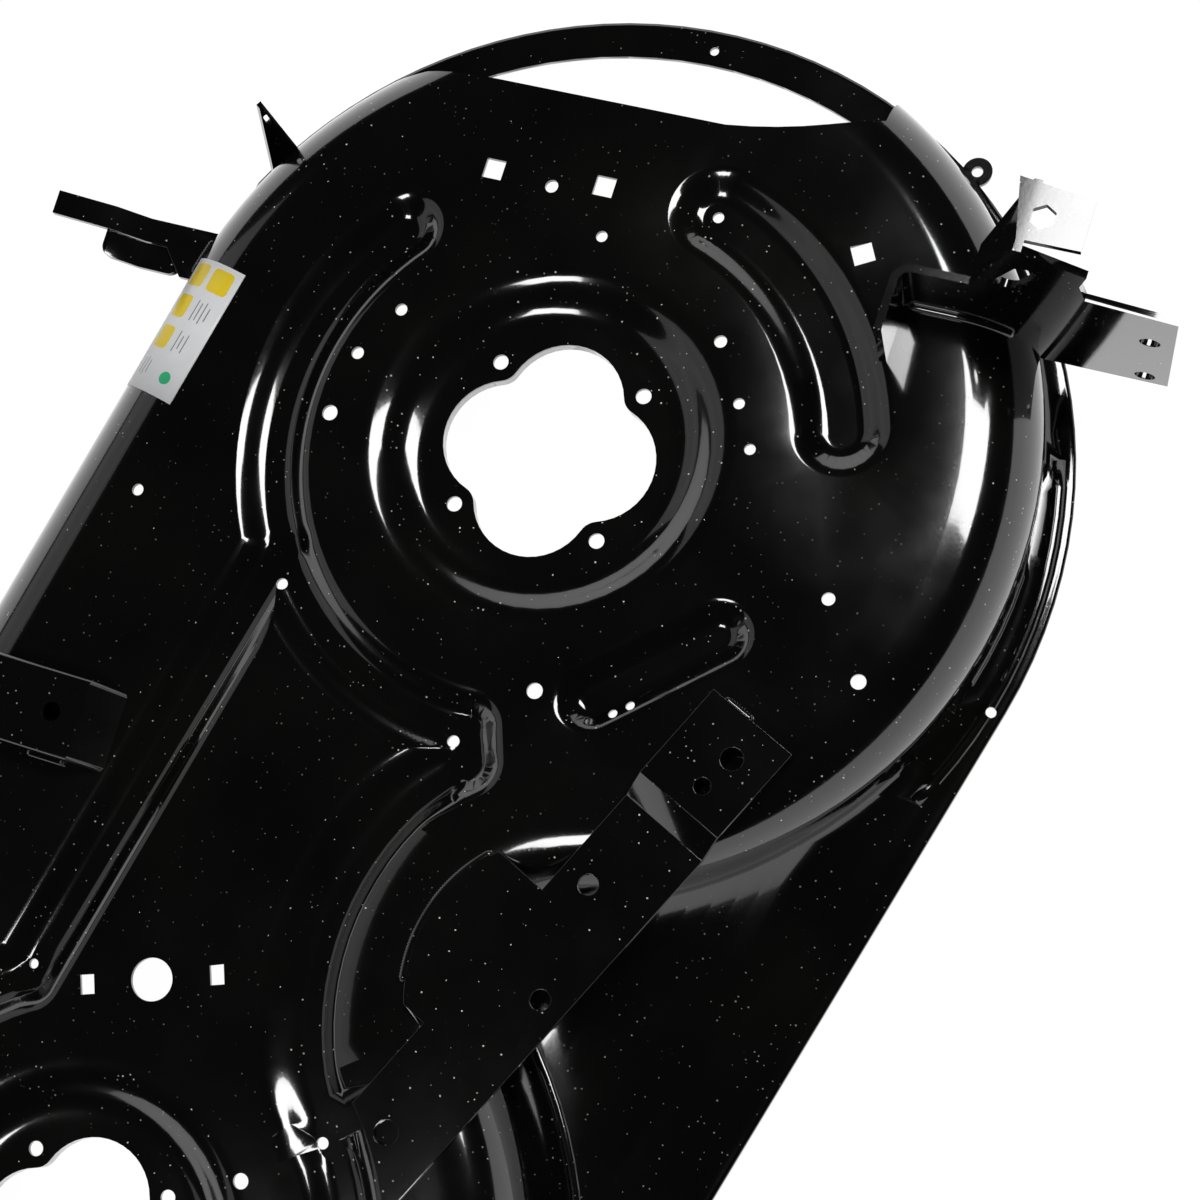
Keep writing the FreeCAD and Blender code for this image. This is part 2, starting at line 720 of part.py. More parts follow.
class Drawing:
    """A sketch on one of a body's own planes."""

    def __init__(self, body, name, role, offset):
        plane = next(item for item in body.Origin.OriginFeatures if item.Role == role)
        self.body = body
        self.sketch = body.newObject("Sketcher::SketchObject", name)
        self.sketch.AttachmentSupport = [(plane, "")]
        self.sketch.MapMode = "FlatFace"
        self.sketch.AttachmentOffset = FreeCAD.Placement(Vector(0, 0, value_of(offset)), FreeCAD.Rotation())
        self.sketch.setExpression("AttachmentOffset.Base.z", text_of(offset))

    def bind(self, kind, members, size):
        """Add a constraint with a length."""
        index = self.sketch.addConstraint(Sketcher.Constraint(kind, *members, value_of(size)))
        self.sketch.setExpression("Constraints[%d]" % index, text_of(size))

    def pin(self, geometry, point, place):
        """Hold a point at two lengths from the origin."""
        self.bind("DistanceX", (-1, 1, geometry, point), place[0])
        self.bind("DistanceY", (-1, 1, geometry, point), place[1])

    def outline(self, corners):
        """A closed run of straight lines."""
        points = [Vector(value_of(x), value_of(y), 0) for x, y in corners]
        count = len(points)
        first = self.sketch.GeometryCount
        for index in range(count):
            self.sketch.addGeometry(Part.LineSegment(points[index], points[(index + 1) % count]))
        for index in range(count):
            follower = first + (index + 1) % count
            self.sketch.addConstraint(Sketcher.Constraint("Coincident", first + index, 2, follower, 1))
        for index, corner in enumerate(corners):
            self.pin(first + index, 1, corner)

    def circle(self, x, y, diameter):
        """A full circle."""
        centre = Vector(value_of(x), value_of(y), 0)
        geometry = self.sketch.GeometryCount
        self.sketch.addGeometry(Part.Circle(centre, Vector(0, 0, 1), value_of(diameter) / 2.0))
        self.pin(geometry, 3, (x, y))
        self.bind("Diameter", (geometry,), diameter)

    def slot(self, start, end, width):
        """A slot with round ends between two centres."""
        first = Vector(value_of(start[0]), value_of(start[1]), 0)
        last = Vector(value_of(end[0]), value_of(end[1]), 0)
        radius = value_of(width) / 2.0
        lead = math.atan2(last.y - first.y, last.x - first.x)
        across = Vector(-math.sin(lead), math.cos(lead), 0) * radius
        up = Vector(0, 0, 1)
        base = self.sketch.GeometryCount
        begin_circle = Part.Circle(first, up, radius)
        end_circle = Part.Circle(last, up, radius)
        quarter = math.pi / 2.0
        self.sketch.addGeometry(Part.ArcOfCircle(begin_circle, lead + quarter, lead + 3.0 * quarter))
        self.sketch.addGeometry(Part.ArcOfCircle(end_circle, lead - quarter, lead + quarter))
        self.sketch.addGeometry(Part.LineSegment(first - across, last - across))
        self.sketch.addGeometry(Part.LineSegment(last + across, first + across))
        for pair in ((base, 2, base + 2, 1), (base + 2, 2, base + 1, 1),
                     (base + 1, 2, base + 3, 1), (base + 3, 2, base, 1)):
            self.sketch.addConstraint(Sketcher.Constraint("Tangent", *pair))
        self.pin(base, 3, start)
        self.pin(base + 1, 3, end)
        self.bind("Diameter", (base,), width)

    def feature(self, kind, length):
        """A pad or a pocket of this sketch; a pocket must take something away."""
        base = self.body.Tip
        item = self.body.newObject("PartDesign::" + kind, self.sketch.Name + kind)
        item.Profile = self.sketch
        item.Length = value_of(length)
        item.setExpression("Length", text_of(length))
        self.body.Document.recompute()
        if kind == "Pocket" and item.Shape.Volume >= base.Shape.Volume:
            raise RuntimeError("%s cuts nothing" % item.Label)


def new_body(doc, name):
    """An empty body that carries a piece's name."""
    body = doc.addObject("PartDesign::Body", name)
    body.Label = name
    return body


def round_fold(body, name, radius, wanted):
    """A radius on the edges whose two ends fit a test."""
    base = body.Tip
    edges = ["Edge%d" % index for index, edge in enumerate(base.Shape.Edges, start=1)
             if len(edge.Vertexes) == 2 and wanted(*(vertex.Point for vertex in edge.Vertexes))]
    fold = body.newObject("PartDesign::Fillet", name)
    fold.Base = (base, edges)
    fold.Radius = radius.value
    fold.setExpression("Radius", radius.text)
    body.Document.recompute()


def upright_at(x, y):
    """A test for the edge that stands at a place in plan."""
    place = Vector(value_of(x), value_of(y), 0)

    def wanted(first, last):
        return all(math.hypot(point.x - place.x, point.y - place.y) < FOOT for point in (first, last))

    return wanted


def seated(doc, body, form, name):
    """A piece whose edges are cut to lie on the deck's outer face."""
    body.Label = name + "_blank"
    piece = doc.addObject("Part::Cut", name)
    piece.Base = body
    piece.Tool = form
    piece.Label = name
    return piece


def make_wheel_bracket(doc, s, form):
    """The folded bracket: standing plate with arm, return flange, side flange and top plate."""
    body = new_body(doc, "wheel_bracket")
    inner_x = s.bracket_face_x + s.bracket_gauge
    plate = Drawing(body, "standing_plate", "YZ_Plane", s.bracket_face_x)
    plate.outline([
        (s.bracket_front_y, s.arm_bottom),
        (s.bracket_front_y, s.bracket_low_top),
        (s.bracket_step_y, s.bracket_low_top),
        (s.bracket_high_y, s.bracket_high_top),
        (s.bracket_rear_y, s.bracket_rear_top),
        (s.bracket_notch_y, s.bracket_notch_z),
        (s.bracket_rear_y, s.arm_top_inner),
        (s.arm_end_y, s.arm_top_outer),
        (s.arm_end_y, s.arm_bottom),
    ])
    plate.feature("Pad", s.bracket_gauge)

    flange = Drawing(body, "return_flange", "XY_Plane", s.arm_bottom)
    flange.outline([
        (s.bracket_face_x - s.return_flange_reach, s.bracket_front_y),
        (inner_x, s.bracket_front_y),
        (inner_x, s.bracket_front_y - s.bracket_gauge),
        (s.bracket_face_x - s.return_flange_reach, s.bracket_front_y - s.bracket_gauge),
    ])
    flange.feature("Pad", s.bracket_low_top - s.arm_bottom)
    round_fold(body, "fold_outside", s.bracket_fold_radius + s.bracket_gauge,
               upright_at(inner_x, s.bracket_front_y))
    round_fold(body, "fold_inside", s.bracket_fold_radius,
               upright_at(s.bracket_face_x, s.bracket_front_y - s.bracket_gauge))

    side = Drawing(body, "side_flange", "YZ_Plane", s.bracket_face_x)
    side.outline([
        (s.bracket_step_y, s.bracket_low_top),
        (s.bracket_high_y, s.bracket_high_top),
        (s.bracket_high_y - s.bracket_gauge, s.bracket_high_top),
        (s.bracket_step_y - s.bracket_gauge, s.bracket_low_top),
    ])
    side.feature("Pad", s.bracket_gauge + s.side_flange_reach)

    far_x = inner_x + s.side_flange_reach
    low_x = inner_x + s.side_flange_low_reach
    trim = Drawing(body, "side_trim", "XZ_Plane", s.bracket_gauge - s.bracket_high_y)
    trim.outline([
        (low_x, s.bracket_low_top - s.bracket_gauge),
        (far_x + s.bracket_gauge, s.bracket_low_top - s.bracket_gauge),
        (far_x + s.bracket_gauge, s.bracket_high_top - s.bracket_gauge),
        (far_x, s.bracket_high_top - s.bracket_gauge),
    ])
    trim.feature("Pocket", s.bracket_step_y - s.bracket_high_y + s.bracket_gauge)

    top = Drawing(body, "top_plate", "XY_Plane", s.bracket_high_top - s.bracket_gauge)
    near_x = inner_x + s.hex_plate_gap
    top.outline([
        (near_x, s.bracket_high_y),
        (far_x, s.bracket_high_y + s.hex_plate_lead),
        (far_x - s.hex_plate_taper, s.bracket_high_y - s.hex_plate_length),
        (near_x, s.bracket_high_y - s.hex_plate_length),
    ])
    top.feature("Pad", s.bracket_gauge)

    hexagon = Drawing(body, "hexagon", "XY_Plane", s.bracket_high_top)
    corner_share = 1.0 / math.sqrt(3.0)
    turns = [math.radians(60.0 * corner) for corner in range(6)]
    hexagon.outline([
        (s.hex_hole_x + s.hex_across * (corner_share * math.cos(turn)),
         s.hex_hole_y + s.hex_across * (corner_share * math.sin(turn))) for turn in turns])
    hexagon.feature("Pocket", s.bracket_gauge * 2)

    slot = Drawing(body, "adjusting_slot", "YZ_Plane", inner_x)
    slot.slot((s.adjust_slot_low_y, s.adjust_slot_low_z), (s.adjust_slot_high_y, s.adjust_slot_high_z),
              s.adjust_slot_width)
    slot.feature("Pocket", s.bracket_gauge)

    axle = Drawing(body, "axle_holes", "YZ_Plane", inner_x)
    for level in (s.axle_hole_high, s.axle_hole_low):
        axle.circle(s.axle_hole_y, level, s.axle_hole)
    axle.feature("Pocket", s.bracket_gauge)
    return seated(doc, body, form, "wheel_bracket")


def make_front_bracket(doc, s, form):
    """The box bracket: a channel turned over, with a sloping rear end."""
    body = new_body(doc, "front_bracket")
    outer = Drawing(body, "box", "YZ_Plane", s.box_left_x)
    outer.outline([
        (s.box_rear_foot_y, -s.box_skirt),
        (s.box_rear_foot_y, Size(0.0, "0")),
        (s.box_rear_top_y, s.box_top),
        (s.box_front_y, s.box_top),
        (s.box_front_y, -s.box_skirt),
    ])
    outer.feature("Pad", s.box_right_x - s.box_left_x)
    hollow = Drawing(body, "hollow", "YZ_Plane", s.box_right_x - s.box_gauge)
    hollow.outline([
        (s.box_rear_foot_y + s.box_foot_wall, -s.box_skirt - s.box_gauge),
        (s.box_rear_foot_y + s.box_foot_wall, Size(0.0, "0")),
        (s.box_rear_top_y + s.box_bend_wall, s.box_top - s.box_gauge),
        (s.box_front_y + s.box_gauge, s.box_top - s.box_gauge),
        (s.box_front_y + s.box_gauge, -s.box_skirt - s.box_gauge),
    ])
    hollow.feature("Pocket", s.box_right_x - s.box_left_x - s.box_gauge * 2)
    hole = Drawing(body, "box_hole", "XY_Plane", s.box_top)
    hole.circle(s.box_hole_x, s.box_hole_y, s.box_hole)
    hole.feature("Pocket", s.box_gauge)
    sides = (s.box_left_x.value, s.box_right_x.value)

    def outer_fold(first, last):
        along_side = abs(first.x - last.x) < FOOT and min(abs(first.x - side) for side in sides) < FOOT
        top_or_rear = [point.z > s.box_top.value - FOOT or point.y < s.box_rear_foot_y.value + FOOT
                       for point in (first, last)]
        lowest = max(first.z, last.z) > -s.box_skirt.value + FOOT
        return along_side and all(top_or_rear) and lowest

    round_fold(body, "box_folds", s.box_fold_radius, outer_fold)
    return seated(doc, body, form, "front_bracket")


def make_front_strap(doc, s, form):
    """The joggled strap at the front wall with the wing along its side."""
    body = new_body(doc, "front_strap")
    near_x = s.strap_x - s.strap_width * 0.5
    far_x = s.strap_x + s.strap_width * 0.5
    bend_end = s.strap_bend_y + s.strap_step_run
    high = s.strap_root_z + s.strap_step
    tip = high + s.strap_end_rise
    side = Drawing(body, "strap_side", "YZ_Plane", near_x)
    side.outline([
        (s.strap_root_y, s.strap_root_z),
        (s.strap_bend_y, s.strap_root_z),
        (bend_end, high),
        (s.strap_end_y, tip),
        (s.strap_end_y, tip - s.strap_gauge),
        (bend_end, high - s.strap_gauge),
        (s.strap_bend_y, s.strap_root_z - s.strap_gauge),
        (s.strap_root_y, s.strap_root_z - s.strap_gauge),
    ])
    side.feature("Pad", s.strap_width)
    root = Drawing(body, "strap_root", "XY_Plane", s.strap_root_z - s.strap_gauge)
    root.outline([
        (far_x - s.strap_root_width, s.strap_root_y),
        (far_x, s.strap_root_y),
        (far_x, s.strap_root_taper_y),
        (near_x, s.strap_root_taper_y),
        (far_x - s.strap_root_width, s.strap_root_taper_y - s.strap_width),
    ])
    root.feature("Pad", s.strap_gauge)
    wing = Drawing(body, "strap_wing", "YZ_Plane", near_x - s.strap_wing_reach)
    low = s.strap_root_z - s.strap_wing_drop
    raised = high - s.strap_wing_drop
    wing.outline([
        (s.strap_wing_rear_y, low),
        (s.strap_bend_y, low),
        (bend_end, raised),
        (s.strap_wing_front_y, raised),
        (s.strap_wing_front_y, raised - s.strap_gauge),
        (bend_end, raised - s.strap_gauge),
        (s.strap_bend_y, low - s.strap_gauge),
        (s.strap_wing_rear_y, low - s.strap_gauge),
    ])
    wing.feature("Pad", s.strap_wing_reach + s.strap_gauge)
    for name, y in (("wing_front_corner", s.strap_wing_front_y), ("wing_rear_corner", s.strap_wing_rear_y)):
        round_fold(body, name, s.strap_wing_corner, upright_at(near_x - s.strap_wing_reach, y))
    return seated(doc, body, form, "front_strap")


def make_front_tab(doc, s, n):
    """The upright tab with a slot that stands on the front flange."""
    body = new_body(doc, "front_tab")
    reach = s.front_wall_radius + s.flange_width - s.tab_inset
    face = Drawing(body, "tab_face", "YZ_Plane", reach)
    face.outline([
        (-s.tab_foot_right, -s.deck_height),
        (s.tab_foot_left, -s.deck_height),
        (s.tab_top_width * 0.5, s.tab_top),
        (s.tab_top_width * -0.5, s.tab_top),
    ])
    face.feature("Pad", s.tab_gauge)
    slot = Drawing(body, "tab_slot", "YZ_Plane", reach + s.tab_gauge)
    slot.slot((s.tab_slot_offset, s.tab_slot_top - s.tab_slot_length),
              (s.tab_slot_offset, s.tab_slot_top), s.tab_slot_width)
    slot.feature("Pocket", s.tab_gauge)
    body.Placement = FreeCAD.Placement(Vector(0, 0, 0), Vector(0, 0, 1), n.tab_angle)
    body.setExpression("Placement.Rotation.Angle", s.tab_angle.text)
    return body


# Pieces that follow the pressed shape of the shell.

def feature(doc, name, shape):
    """A named piece with a shape of its own."""
    node = doc.addObject("Part::Feature", name)
    node.Shape = shape
    node.Label = name
    return node


def make_rear_plate(doc, n, plan, form):
    """The long folded plate on top at the rear, with a lobe that follows the valley."""
    gauge = n.plate_gauge
    rise = n.rear_plate_rise
    end = n.rear_plate_end
    left = n.rear_plate_left_reach
    low = n.rear_plate_low_bend
    high = n.rear_plate_high_bend
    profile = [(left, 0), (low, 0), (high, rise), (end - gauge, rise), (end - gauge, 0), (end, 0),
               (end, rise + gauge), (high, rise + gauge), (low, gauge), (left, gauge)]
    strip = polygon_face([Vector(x, n.rear_plate_rear, z) for x, z in profile])
    plate = strip.extrude(Vector(0, n.rear_plate_front - n.rear_plate_rear, 0))
    plate.rotate(Vector(0, 0, 0), Vector(0, 0, 1), n.rear_plate_turn)

    turn = FreeCAD.Rotation(Vector(0, 0, 1), n.rear_plate_turn)
    reach = n.rear_plate_lobe_radius
    lobe = Part.makeCylinder(reach, gauge, plan.valley)
    band = Part.makeBox(n.rear_plate_lobe_start - n.rear_plate_lobe_end, reach, gauge,
                        Vector(n.rear_plate_lobe_end, n.rear_plate_front - gauge, 0))
    band.rotate(Vector(0, 0, 0), Vector(0, 0, 1), n.rear_plate_turn)
    plate = plate.fuse(lobe.common(band))

    clear = n.left_channel_circle + n.channel_floor / 2.0 + n.channel_run - n.rear_plate_channel_overlap
    plate = plate.cut(Part.makeCylinder(clear, rise, plan.left - Vector(0, 0, BURY)))
    holes = []
    for name in REAR_PLATE_HOLES:
        x, y, size = (getattr(n, "plate_%s_%s" % (name, part)) for part in ("x", "y", "size"))
        place = turn.multVec(Vector(x, y, 0))
        holes.append(round_hole(place.x, place.y, size, -BURY, rise + gauge + BURY))
    return feature(doc, "rear_plate", plate.cut(holes + [form.Shape]))


def make_rear_plate_welds(doc, n, plan, form, plate):
    """The fillet weld round the lobe and the one at the raised end."""
    size = n.weld_size
    reach = n.rear_plate_lobe_radius
    turn = n.rear_plate_turn
    middle = turn + 90.0
    section = polygon_face([
        Vector(reach, 0, 0),
        Vector(reach + size, 0, 0),
        Vector(reach + size * WELD_CROWN, 0, n.plate_gauge * WELD_CROWN),
        Vector(reach, 0, n.plate_gauge),
    ])
    arc = curved_ridge(section, plan.valley, middle + n.arc_weld_start, middle + n.arc_weld_end)
    end = n.rear_plate_end
    crown = size * WELD_CROWN
    corners = [(0.0, 0.0), (size, 0.0), (crown, crown), (0.0, size)]
    bead = polygon_face([Vector(end + x, 0, z) for x, z in corners])
    bead = bead.extrude(Vector(0, n.end_weld_length, 0))
    bead.translate(Vector(0, n.rear_plate_front - n.end_weld_length - size, 0))
    bead.rotate(Vector(0, 0, 0), Vector(0, 0, 1), turn)
    return [feature(doc, "rear_plate_arc_weld", arc.cut([plate.Shape, form.Shape])),
            feature(doc, "rear_plate_end_weld", bead.cut([plate.Shape, form.Shape]))]


def bead_run(points, radius):
    """A weld bead: an eight-sided rope of metal along a few points."""
    lead = points[1] - points[0]
    turn = FreeCAD.Rotation(Vector(0, 0, 1), lead)
    corners = [points[0] + turn.multVec(polar(45.0 * side, radius)) for side in range(8)]
    ring = Part.makePolygon(corners + corners[:1])
    return Part.makePolygon(points).makePipeShell([ring], True, False, int(RIGHT_CORNER))


def shoulder_point(n, plan, x, y):
    """The point of the rear right outer face at a place in plan."""
    inside = plan.rear_wall_radius - math.hypot(x - plan.rear_wall.x, y - plan.rear_wall.y)
    roll = n.shoulder_radius
    drop = 0.0 if inside >= roll else roll - math.sqrt(roll ** 2 - (roll - inside) ** 2)
    return Vector(x, y, -drop)


def make_bracket_welds(doc, n, plan, form, bracket, box, strap):
    """The weld beads of the brackets, shaped by the faces that they join."""
    radius = n.bead_size
    face = n.bracket_face_x
    length = n.wheel_weld_end_y - n.wheel_weld_start_y
    steps = round(WELD_STEPS)
    rows = [n.wheel_weld_start_y + length * step / steps for step in range(steps + 1)]
    wheel = bead_run([shoulder_point(n, plan, face, y) for y in rows], radius)
    box_side = bead_run([Vector(n.box_left_x, y, 0) for y in (n.box_weld_start_y, n.box_weld_end_y)],
                        radius)
    x_right = n.strap_x + n.strap_width / 2.0 - radius
    x_left = n.strap_x + n.strap_width / 2.0 - n.strap_root_width + radius
    wall = [Vector(x, math.sqrt(n.front_wall_radius ** 2 - x ** 2), n.strap_root_z)
            for x in (x_left, (x_left + x_right) / 2.0, x_right)]
    strap_bead = bead_run(wall, radius)
    return [
        feature(doc, "wheel_bracket_weld", wheel.cut([form.Shape, bracket.Shape])),
        feature(doc, "front_bracket_weld", box_side.cut([form.Shape, box.Shape])),
        feature(doc, "front_strap_weld", strap_bead.cut([form.Shape, strap.Shape])),
    ]


def make_label(doc, n, plan):
    """The sticker that wraps from the top over the front shoulder."""
    start = n.front_wall_radius - n.shoulder_radius
    roll = n.shoulder_radius + n.label_clearance
    skin = roll + n.label_thickness
    wrap = n.label_wrap_angle

    def at(reach, angle):
        turn = math.radians(angle)
        return Vector(0, start + reach * math.sin(turn), reach * math.cos(turn) - n.shoulder_radius)

    flat = start - n.label_flat
    top = n.label_clearance + n.label_thickness
    section = closed_face([
        line_edge(Vector(0, flat, n.label_clearance), at(roll, 0)),
        Part.Arc(at(roll, 0), at(roll, wrap / 2.0), at(roll, wrap)).toShape(),
        line_edge(at(roll, wrap), at(skin, wrap)),
        Part.Arc(at(skin, wrap), at(skin, wrap / 2.0), at(skin, 0)).toShape(),
        line_edge(at(skin, 0), Vector(0, flat, top)),
        line_edge(Vector(0, flat, top), Vector(0, flat, n.label_clearance)),
    ])
    label = section.extrude(Vector(-n.label_length, 0, 0))
    label.rotate(Vector(0, 0, 0), Vector(0, 0, 1), angle_of(plan.forward) - 90.0)
    label.translate(plan.along * n.label_start)
    return feature(doc, "deck_label", label)


def set_on_seat(node, s):
    """Move a finished piece, so that the origin is the middle of the right seat's bolt square."""
    place = node.Placement.Base
    for axis, size, at in (("x", -s.right_seat_x, place.x), ("y", -s.right_seat_y, place.y),
                           ("z", s.seat_depth, place.z)):
        node.setExpression("Placement.Base." + axis, (size + at).text)


def main():
    doc = FreeCAD.newDocument("mower_deck")
    s, n = make_sheet(doc)
    plan = Layout(n)
    shell, form = make_shell(doc, n, plan)
    wheel = make_wheel_bracket(doc, s, form)
    box = make_front_bracket(doc, s, form)
    strap = make_front_strap(doc, s, form)
    tab = make_front_tab(doc, s, n)
    doc.recompute()
    rear = make_rear_plate(doc, n, plan, form)
    nodes = [shell, wheel, box, strap, tab, rear]
    nodes += make_rear_plate_welds(doc, n, plan, form, rear)
    nodes += make_bracket_welds(doc, n, plan, form, wheel, box, strap)
    nodes.append(make_label(doc, n, plan))
    doc.recompute()
    for node in nodes:
        set_on_seat(node, s)
    doc.recompute()

    for item in doc.Objects:
        if "Invalid" in item.State or "Error" in item.State:
            raise RuntimeError("%s could not be built" % item.Label)
    for node in nodes:
        if node.Shape.isNull() or not node.Shape.isValid():
            raise RuntimeError("%s has no sound shape" % node.Label)
    os.makedirs("parts", exist_ok=True)
    for node in nodes:
        node.Shape.exportStep("parts/%s.step" % node.Label)
        box = node.Shape.BoundBox
        print("%-24s %d solid %10.1f mm3  x %.1f %.1f  y %.1f %.1f  z %.1f %.1f" % (
            node.Label, len(node.Shape.Solids), node.Shape.Volume,
            box.XMin, box.XMax, box.YMin, box.YMax, box.ZMin, box.ZMax))


main()
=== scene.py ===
"""Looks of a pressed steel mower deck, coated gloss black, in a pale studio.

The deck's lengths are millimetres, as on a maker's drawing. The studio's lengths and all meshes are metres.
"""

import logging
import math
from dataclasses import dataclass, field
from enum import Enum

import bmesh
import bpy
import numpy as np
from mathutils import Matrix, Vector


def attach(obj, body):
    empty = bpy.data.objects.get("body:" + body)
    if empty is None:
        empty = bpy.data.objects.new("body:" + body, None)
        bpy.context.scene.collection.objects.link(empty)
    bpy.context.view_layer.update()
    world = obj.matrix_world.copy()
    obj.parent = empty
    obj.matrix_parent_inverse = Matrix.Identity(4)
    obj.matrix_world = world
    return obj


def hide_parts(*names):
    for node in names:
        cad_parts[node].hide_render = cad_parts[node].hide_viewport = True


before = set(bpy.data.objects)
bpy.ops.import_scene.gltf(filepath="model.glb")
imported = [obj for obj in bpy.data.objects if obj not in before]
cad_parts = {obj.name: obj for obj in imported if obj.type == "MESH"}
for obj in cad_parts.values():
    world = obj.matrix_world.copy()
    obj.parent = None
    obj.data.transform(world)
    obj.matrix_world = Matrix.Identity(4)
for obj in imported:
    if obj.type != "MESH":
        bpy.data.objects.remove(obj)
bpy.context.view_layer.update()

MM = 0.001
# The pieces are laid out from the middle of the circle that the front wall follows round the right
# spindle, at the level of the flat top. HOME is where that point lies in the frame, in millimetres.
HOME = Vector((-3.3, -3.9, 14.0))
BODY = "root"
MERGE_DISTANCE = 2e-6
TINY = 1e-6
LOG = logging.getLogger("deck")

Point = tuple[float, float]
Span = tuple[float, float]
Triple = tuple[float, float, float]
Patch = tuple[float, float, float, float]

# The plan of the pressed sheet, in millimetres and degrees.
GAUGE = 2.5
SHOULDER = 40.0
RIGHT = (0.0, 0.0)
LEFT = (-486.034, 113.014)
VALLEY = (-277.990, -100.722)
REAR_WALL = (12.8, 2.3)
FRONT_RADIUS = 252.0
REAR_RADIUS = 254.5
SKEW = 13.09


class Slot(Enum):
    """The material slots of the record."""

    COAT = "black_coat"
    WELD = "coated_weld"
    STICKER = "sticker"


# Small helpers for meshes.

def merged_copy(node: str, name: str) -> bmesh.types.BMesh:
    """A CAD node's triangles with their shared corners joined.

    Args:
        node: the CAD node's name.
        name: what the copy is for, written to the log.

    Returns:
        The merged mesh.
    """
    mesh = bmesh.new()
    mesh.from_mesh(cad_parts[node].data)
    bmesh.ops.remove_doubles(mesh, verts=mesh.verts, dist=MERGE_DISTANCE)
    LOG.info("%s: %d faces from %s", name, len(mesh.faces), node)
    return mesh


def to_object(mesh: bmesh.types.BMesh, name: str, material: bpy.types.Material) -> bpy.types.Object:
    """A finished bmesh as a smooth shaded object at the origin.

    Args:
        mesh: the shape in metres; it is freed.
        name: the piece's name.
        material: the piece's finish.

    Returns:
        The new object.
    """
    data = bpy.data.meshes.new(name)
    mesh.to_mesh(data)
    mesh.free()
    for polygon in data.polygons:
        polygon.use_smooth = True
    piece = bpy.data.objects.new(name, data)
    bpy.context.scene.collection.objects.link(piece)
    data.materials.append(material)
    return piece


def mount(piece: bpy.types.Object, node: str) -> None:
    """Let a piece stand for a CAD node: hang it on the body and hide the node.

    Args:
        piece: the finished piece.
        node: the CAD node's name.
    """
    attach(piece, BODY)
    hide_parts(node)
    LOG.info("%s: %d faces, stands for %s", piece.name, len(piece.data.polygons), node)


# Finishes.

class NodeBoard:
    """A material's node tree with short calls to add and join nodes."""

    # A Mix node's colour sockets share their names with its other ones, so they are told by number.
    FIRST_COLOUR, SECOND_COLOUR, MIXED_COLOUR = 6, 7, 2

    def __init__(self, name: str) -> None:
        """Start a material with a Principled shader.

        Args:
            name: the material's name.
        """
        self.material = bpy.data.materials.new(name)
        self.material.use_nodes = True
        self.tree = self.material.node_tree
        self.shader = self.tree.nodes["Principled BSDF"]
        self.place = self.add("ShaderNodeTexCoord").outputs

    def add(self, kind: str, **settings: object) -> bpy.types.Node:
        """A new node.

        Args:
            kind: the node's type.
            settings: the node's own properties.

        Returns:
            The node.
        """
        node = self.tree.nodes.new(kind)
        for key, value in settings.items():
            setattr(node, key, value)
        return node

    def join(self, source: bpy.types.NodeSocket, target: bpy.types.NodeSocket) -> None:
        """A link between two sockets."""
        self.tree.links.new(source, target)

    def math(self, operation: str, first: object, second: object = None) -> bpy.types.NodeSocket:
        """A Math node on sockets or numbers.

        Args:
            operation: the node's operation.
            first: a socket or a number.
            second: a socket, a number or nothing.

        Returns:
            The result's socket.
        """
        node = self.add("ShaderNodeMath", operation=operation)
        for slot, value in zip(node.inputs, (first, second)):
            if isinstance(value, bpy.types.NodeSocket):
                self.join(value, slot)
            elif value is not None:
                slot.default_value = value
        return node.outputs[0]

    def noise(self, size: float, detail: float = 2.0) -> bpy.types.NodeSocket:
        """A noise on Object coordinates.

        Args:
            size: about how large its lumps are, in millimetres.
            detail: how many finer layers it has.

        Returns:
            Its value's socket.
        """
        node = self.add("ShaderNodeTexNoise")
        node.inputs["Scale"].default_value = 1.0 / (size * MM)
        node.inputs["Detail"].default_value = detail
        self.join(self.place["Object"], node.inputs["Vector"])
        return node.outputs["Fac"]

    def ramp(self, source: bpy.types.NodeSocket, low: float, high: float,
             start: float = 0.0, end: float = 1.0) -> bpy.types.NodeSocket:
        """A range of a value stretched to another range, held at its ends.

        Args:
            source: the value's socket.
            low: where the value's range starts.
            high: where it ends.
            start: where the new range starts.
            end: where it ends.

        Returns:
            The new value's socket.
        """
        node = self.add("ShaderNodeMapRange")
        self.join(source, node.inputs["Value"])
        for key, value in (("From Min", low), ("From Max", high), ("To Min", start), ("To Max", end)):
            node.inputs[key].default_value = value
        return node.outputs["Result"]

    def blend(self, share: bpy.types.NodeSocket, first: object, second: object) -> bpy.types.NodeSocket:
        """A mix of two colours.

        Args:
            share: the socket that says how much of the second shows.
            first: a colour or a colour socket.
            second: a colour or a colour socket.

        Returns:
            The mixed colour's socket.
        """
        node = self.add("ShaderNodeMix", data_type="RGBA")
        self.join(share, node.inputs["Factor"])
        slots = (node.inputs[self.FIRST_COLOUR], node.inputs[self.SECOND_COLOUR])
        for slot, value in zip(slots, (first, second)):
            if isinstance(value, bpy.types.NodeSocket):
                self.join(value, slot)
            else:
                slot.default_value = (*value, 1.0)
        return node.outputs[self.MIXED_COLOUR]

    def bump(self, height: bpy.types.NodeSocket, depth: float) -> None:
        """A bump on the shader.

        Args:
            height: the socket that shapes it.
            depth: how deep it is, in millimetres.
        """
        node = self.add("ShaderNodeBump")
        node.inputs["Distance"].default_value = depth * MM
        node.inputs["Strength"].default_value = 1.0
        self.join(height, node.inputs["Height"])
        self.join(node.outputs["Normal"], self.shader.inputs["Normal"])

    def set(self, **values: object) -> None:
        """Constants on the shader's own sockets; underscores stand for spaces."""
        for key, value in values.items():
            self.shader.inputs[key.replace("_", " ")].default_value = value


